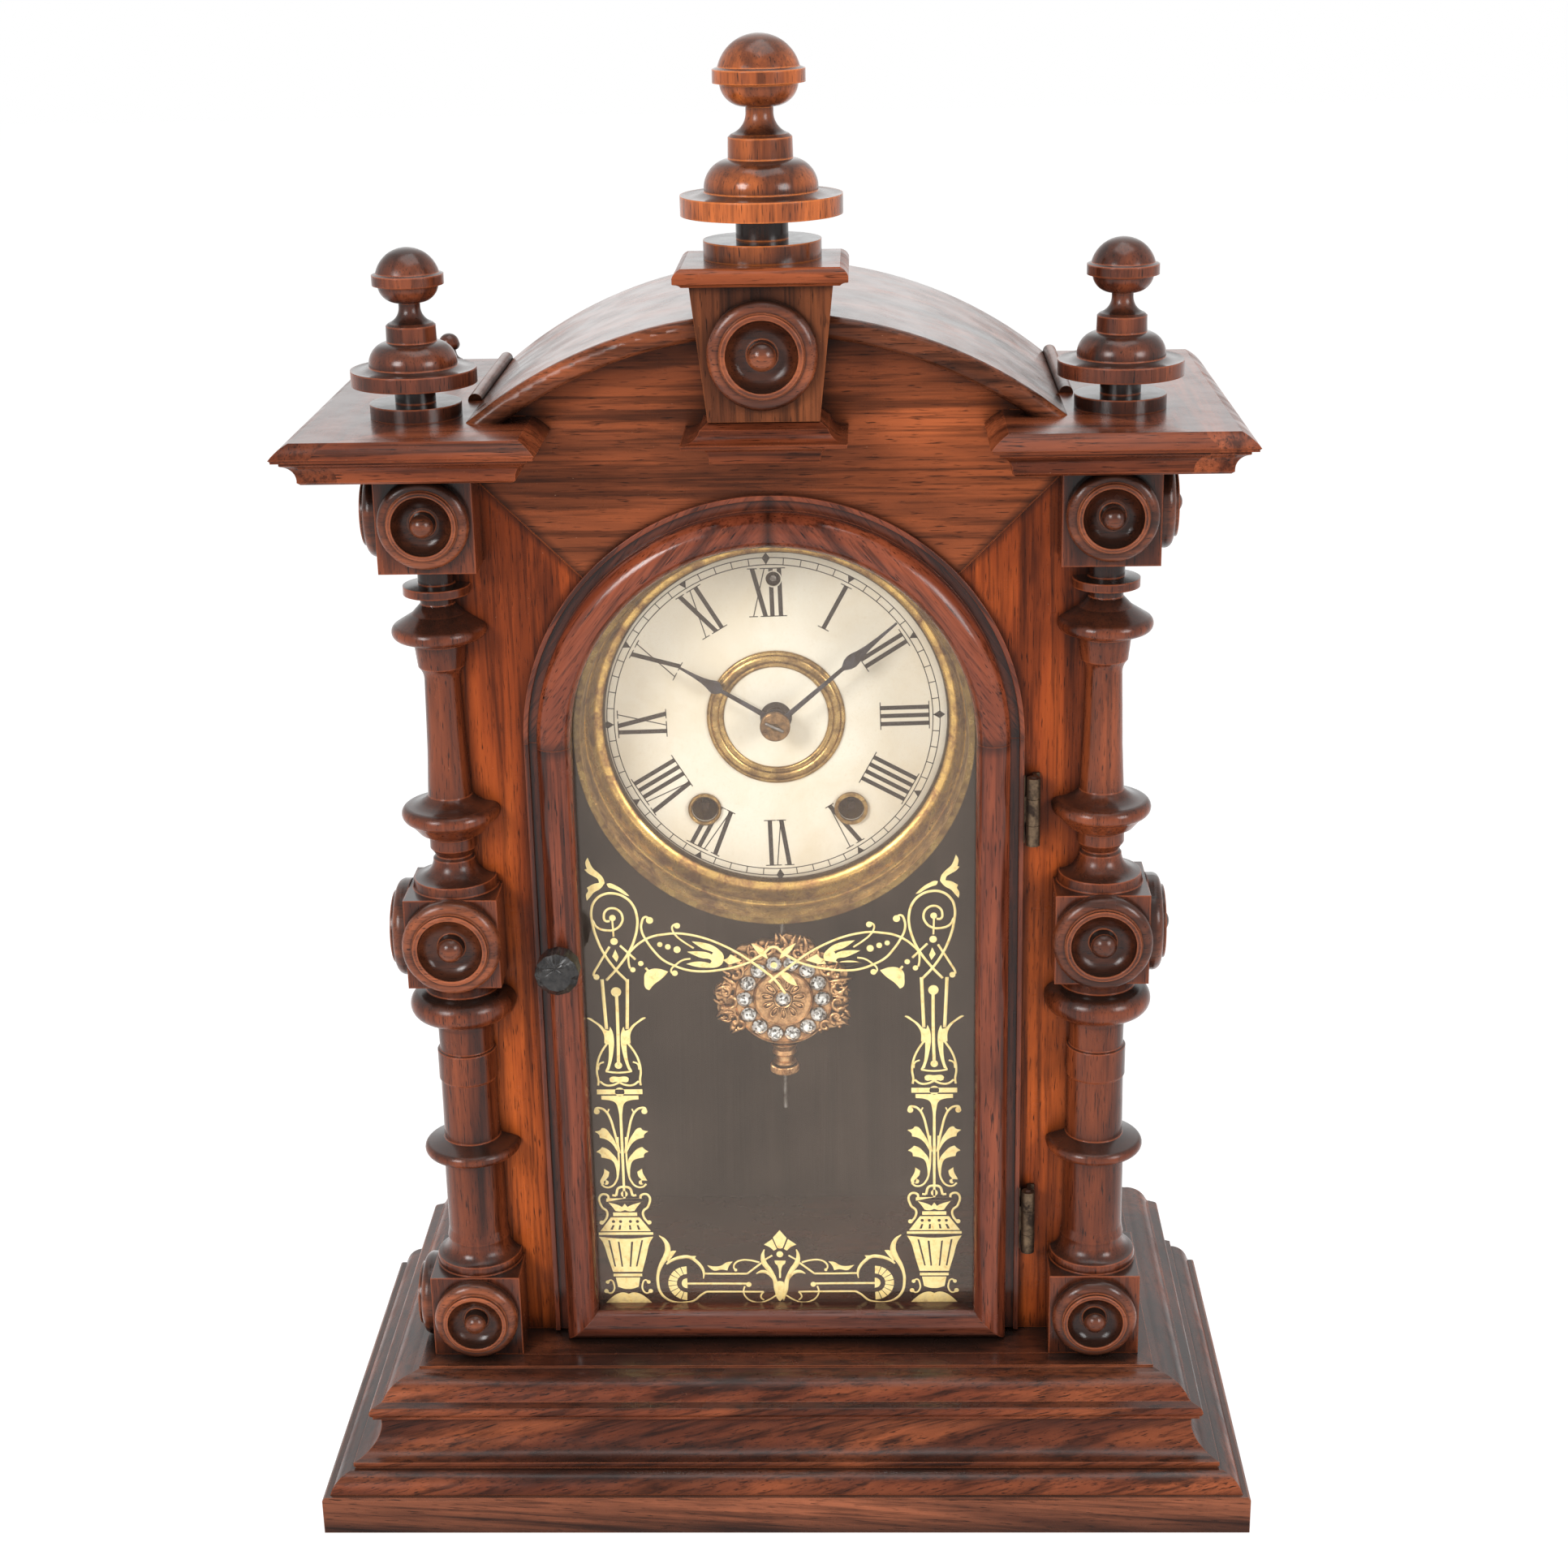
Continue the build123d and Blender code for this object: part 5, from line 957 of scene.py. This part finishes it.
def scrollwork():
    """The cast lines of one scroll and two leaves at each step round the bob's rim."""
    rows = []
    for i in range(SCROLL_COUNT):
        a = -SCROLL_SWEEP / 2 + i * SCROLL_SWEEP / (SCROLL_COUNT - 1) + 3 * sin(i * 2.3)
        hand = 1 if i % 2 else -1
        reach = min(21.0 + 1.4 * sin(i * 1.7), 15.8 + wing(a))
        depth = BOB_FACE + 0.1 - 0.5 * sin(i * 1.9) ** 2
        curl = scroll(a, reach, 2.6 + 0.5 * sin(i * 2.9), pi / 2 - radians(a) + hand * 1.4, hand)
        rows.append(at_depth(depth, curl))
        b = a + 5
        tip = 17.9 + wing(b)
        outer = ((b, 18.0, 0.8), (b + 2, (18.0 + tip) / 2, 2.2), (b + 4 * hand, tip + 0.8, 0.5))
        inner = ((a - 3, tip - 3.2, 0.5), (a - 2, tip - 1.4, 1.7), (a + 2 * hand, min(tip + 0.9, 26.0), 0.4))
        for depth, leaf in ((0.2, outer), (0.5, inner)):
            rows.append(at_depth(BOB_FACE + depth, [(*round_bob(t, r), width) for t, r, width in leaf]))
    return rows


def bob_casting(material):
    mesh = bmesh.new()
    middle = (0.0, BOB_Z)
    face = [(r, BOB_FACE + d) for r, d in BOB_SECTION]
    turned(mesh, [(0.0, BOB_BACK), (0.0, BOB_FACE), *face, (17.4, BOB_BACK)], middle, 72)
    turned(mesh, [(r, BOB_FACE + d) for r, d in MIDDLE_COLLET], middle, 28)
    for centre in stone_places():
        turned(mesh, [(r, BOB_FACE + d) for r, d in STONE_COLLET], centre, 16)
    rim = [round_bob(a, 17.8 + wing(a)) for a in range(-136, 137, 4)]
    plate(mesh, rim + [round_bob(a, 14.0) for a in range(136, -137, -8)], BOB_FACE + 1.2, 2.4)
    rows = []
    for i in range(PETALS):
        a = 360 * (i + 0.5) / PETALS
        x, z = round_bob(a, PETAL_RING)
        seat = Matrix.Translation(place(x, BOB_FACE, z)) @ Matrix.Rotation(radians(a), 4, "Y")
        seat = seat @ Matrix.Diagonal((0.75, 0.6, 1.5, 1.0))
        bmesh.ops.create_uvsphere(mesh, u_segments=14, v_segments=8, radius=MM, matrix=seat)
        rows.append(at_depth(BOB_FACE - 0.45, petal(a)))
    mesh.from_mesh(drawn("bob_lines", rows + scrollwork(), 3))
    for i in range(BEAD_COUNT):
        a = -BEAD_SWEEP / 2 + i * BEAD_SWEEP / (BEAD_COUNT - 1) + 2.5 * sin(i * 3.1)
        x, z = round_bob(a, min(21.6 + 2.9 * sin(i * 2.17), 17.4 + wing(a)))
        radius = (0.9 + 0.35 * sin(i * 1.37)) * MM
        seat = Matrix.Translation(place(x, BOB_FACE + 0.3, z))
        bmesh.ops.create_icosphere(mesh, subdivisions=2, radius=radius, matrix=seat)
    turned(mesh, NECK, SPINDLE, 32, "Z")
    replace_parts(finished("bob_casting", mesh, material, "bob"), "pendulum_bob")


def knurled_nut(material):
    """The rating nut, with its rim cut into fine teeth."""
    mesh = bmesh.new()
    low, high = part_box("rating_nut")
    foot, top = low.z / MM, high.z / MM
    sides = 2 * NUT_TEETH
    base = Matrix.Translation(place(*SPINDLE, foot))
    made = bmesh.ops.create_circle(mesh, cap_ends=True, segments=sides, radius=NUT_RADIUS * MM, matrix=base)
    hub = place(*SPINDLE, 0)
    ring = sorted(made["verts"], key=lambda v: (v.co - hub).xy.angle_signed((1, 0), 0))
    bmesh.ops.scale(mesh, verts=ring[::2], vec=(TOOTH_SHARE, TOOTH_SHARE, 1), space=base.inverted())
    for rise, share in NUT_STEPS:
        face = max(mesh.faces, key=lambda f: f.calc_center_median().z if len(f.verts) == sides else -1)
        rim = extruded(mesh, face, place(0, 0, rise))
        bmesh.ops.scale(mesh, verts=rim, vec=(share, share, 1), space=base.inverted())
    mesh.normal_update()
    collar = [(0.95, top - 0.4), (3.2, top - 0.4), (2.9, top), (0.95, top)]
    turned(mesh, collar, SPINDLE, 32, "Z")
    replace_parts(finished("knurled_nut", mesh, material, "rating_nut"), "rating_nut")


def collet_pin(material):
    """The taper pin that holds the hands on, bent up at one end."""
    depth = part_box("hand_collet")[0].y / MM - 0.35
    row = [(-3.4, 280.6, 0.5), (-0.5, 279.2, 0.6), (1.6, 278.2, 0.65), (2.9, 277.4, 0.5)]
    mesh = bmesh.new()
    mesh.from_mesh(drawn("taper_pin", [at_depth(depth, row)], 6, 2, 1.0))
    finished("collet_pin", mesh, material, "centre")


# Every part's material. A wood's tones are its light, middle and dark; a metal's are bright and tarnished.

ROSE = ((190, 92, 36), (138, 60, 24), (70, 27, 11))
HEAD = ((178, 92, 50), (128, 66, 38), (66, 34, 20))
HALF_WIDTH, HALF_DEPTH = 165, 84
BASE = dict(grain="X", shine=0.16, gloss=0.24, streaks=0.8, smoke=0.7, recess_shade_stops=(0.42, 0.92), upward_darkening=0.62,
            upward_darkening_from=0.6, round_base=(HALF_WIDTH, HALF_DEPTH))
LATHE = dict(streaks=0.45, pore=0.42, recess_shade_and_grime=0.98, wear=0.9, gloss=0.17, shine=0.3, upward_darkening=0.8, upward_darkening_from=0.2,
             cell=16, ease=0.9, reach=15.0, recess_shade_stops=(0.40, 0.93))
DOOR = dict(gloss=0.16, shine=0.3, smoke=0.75, cell=20)
DOOR_TONES = ((146, 74, 46), (106, 50, 32), (52, 23, 15))


def rosewood(parts, finish, tones, **look):
    paint(wood("rosewood_" + finish, tones, **look), parts)


def dress_case():
    rosewood("front_stiles", "stiles", ROSE, seam=mitre_seam, shift=(11, 3, 40), smoke=0.75)
    rosewood("front_head front_rail", "head", HEAD, grain="X", seam=mitre_seam, shift=(30, 5, 22))
    rosewood("side_panels", "sides", ROSE, shift=(40, 9, 70))
    tones = ((140, 78, 44), (94, 50, 29), (44, 23, 14))
    rosewood("keystone", "keystone", tones, shift=(5, 2, 9), smoke=0.8)
    tones = ((150, 78, 46), (98, 46, 26), (44, 21, 12))
    cap = dict(round_base=(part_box("cap_right")[1].x / MM, HALF_DEPTH), polish=(0.85, 0.95, 0.995))
    parts = "cap_left cap_right keystone_cap keystone_ledge"
    rosewood(parts, "caps", tones, grain="X", shift=(3, 70, 31), gloss=0.2, **cap)
    tones = ((150, 80, 48), (100, 54, 34), (52, 28, 18))
    roof = dict(gloss=0.18, polish=(1.0, 0.82, 0.95))
    rosewood("arched_roof", "roof", tones, grain="X", shift=(9, 33, 4), **roof)
    rosewood("ridge_strips", "strips", ((130, 72, 44), (84, 46, 30), (44, 26, 17)), grain="Y")
    tones = ((152, 88, 60), (112, 64, 44), (60, 30, 20))
    rosewood("plinth_slab", "slab", tones, lean=4, shift=(7, 60, 3), **BASE)
    tones = ((150, 80, 48), (98, 48, 30), (44, 19, 12))
    rosewood("plinth_lower_moulding", "lower_step", tones, lean=-16, shift=(70, 4, 8), **BASE)
    tones = ((156, 84, 50), (106, 52, 32), (46, 22, 14))
    parts = "plinth_upper_moulding plinth_carcase"
    rosewood(parts, "upper_step", tones, lean=-14, shift=(22, 8, 60), **BASE)
    paint(plain_wood("stained_back", (60, 50, 44), (36, 29, 26)), "back_board")
    paint(plain_wood("bare_pine", (150, 112, 72), (110, 76, 46), "X"), "inner_blocks")


def dress_turnings():
    tones = ((134, 66, 36), (94, 43, 23), (46, 19, 11))
    rosewood("column_left column_right rear_blocks", "columns", tones, shift=(4, 4, 33), **LATHE)
    tones = ((204, 108, 50), (130, 65, 32), (68, 34, 19))
    rosewood("finial_centre", "centre_finial", tones, shift=(14, 2, 3), **LATHE)
    tones = ((140, 72, 42), (94, 46, 29), (44, 22, 14))
    rosewood("finials_side cap_stud", "finials", tones, shift=(14, 2, 3), **LATHE)
    tones = ((150, 80, 47), (98, 50, 31), (48, 24, 16))
    rosewood("bosses", "bosses", tones, grain="X", shift=(1, 7, 5), **LATHE)


def dress_door():
    arch = dict(DOOR, lean=-38, fold=True, seam=crown_seam)
    rosewood("door_arch", "door_arch", DOOR_TONES, shift=(9, 3, 3), **arch)
    rosewood("door_stiles", "door_stiles", DOOR_TONES, seam=crown_seam, shift=(33, 3, 8), **DOOR)
    tones = ((126, 66, 42), (90, 44, 29), (52, 23, 15))
    rosewood("door_rail", "door_rail", tones, grain="X", shift=(3, 3, 18), **DOOR)
    paint(window_glass(), "door_glass")
    paint(pressed_glass(), "door_knob")


def dress_works():
    """Metals and paper; gives back the two metals that new pieces use."""
    paint(dial_paper(), "dial_plate")
    pan = dict(spread=(0.40, 0.58), size=7.0, steps=pan_painted_light)
    paint(metal("pan_brass", (224, 184, 106), (140, 100, 62), 0.26, **pan), "bezel_pan")
    paint(metal("ring_brass", (202, 168, 106), (118, 90, 54), 0.2, size=6.0, recess_shade_and_grime=0.9), "dial_rings")
    paint(metal("collet_brass", (150, 116, 78), (82, 60, 42), 0.36, size=3.0), "hand_collet")
    wheels = "great_wheel_time great_wheel_strike second_wheel third_wheel escape_wheel minute_wheel "
    # The movement's wide reach paints shade over the works inside the case
    movement = dict(brush=(0.4, 30, 30), recess_shade_and_grime=0.95, reach=30.0)
    movement = metal("movement_brass", (206, 168, 96), (136, 100, 54), 0.34, **movement)
    paint(movement, wheels + "hour_wheel movement_plates centre_arbor knob_collar")
    casting = dict(spread=(0.36, 0.60), size=3.0, recess_shade_and_grime=0.97, reach=1.8)
    casting = metal("cast_bob_brass", (232, 184, 132), (146, 104, 70), 0.34, **casting)
    paint(casting, "pendulum_bob rating_nut")
    hinges = metal("hinge_brass", (120, 100, 80), (58, 48, 42), 0.42, size=5.0)
    paint(hinges, "hinge_door_leaves hinge_case_leaves")
    steel = metal("old_steel", (150, 148, 144), (84, 78, 72), 0.36, size=6.0, brush=(0.3, 8, 8))
    parts = "hinge_pins latch_tongue plate_pillars mainsprings verge regulator_arbor pendulum_rod hammer"
    paint(steel, parts)
    # Darker steel tones: brownish old steel, and partly painted shade for the dark winding holes
    arbors = metal("arbor_steel_in_shade", (96, 78, 64), (44, 34, 28), 0.5, size=2.0, recess_shade_and_grime=0.9, reach=8.0)
    paint(arbors, "winding_arbor_time winding_arbor_strike")
    paint(metal("gong_steel", (92, 92, 96), (48, 46, 46), 0.4, size=7.0), "gong")
    paint(metal("blued_steel", (74, 76, 84), (44, 42, 44), 0.34, size=6.0), "hour_hand minute_hand")
    return casting, steel


def dress():
    dress_case()
    dress_turnings()
    dress_door()
    casting, steel = dress_works()
    dial_print()
    gilt_border()
    stones()
    bob_casting(casting)
    knurled_nut(casting)
    collet_pin(steel)


set_camera()
set_light()
set_floor()
dress()
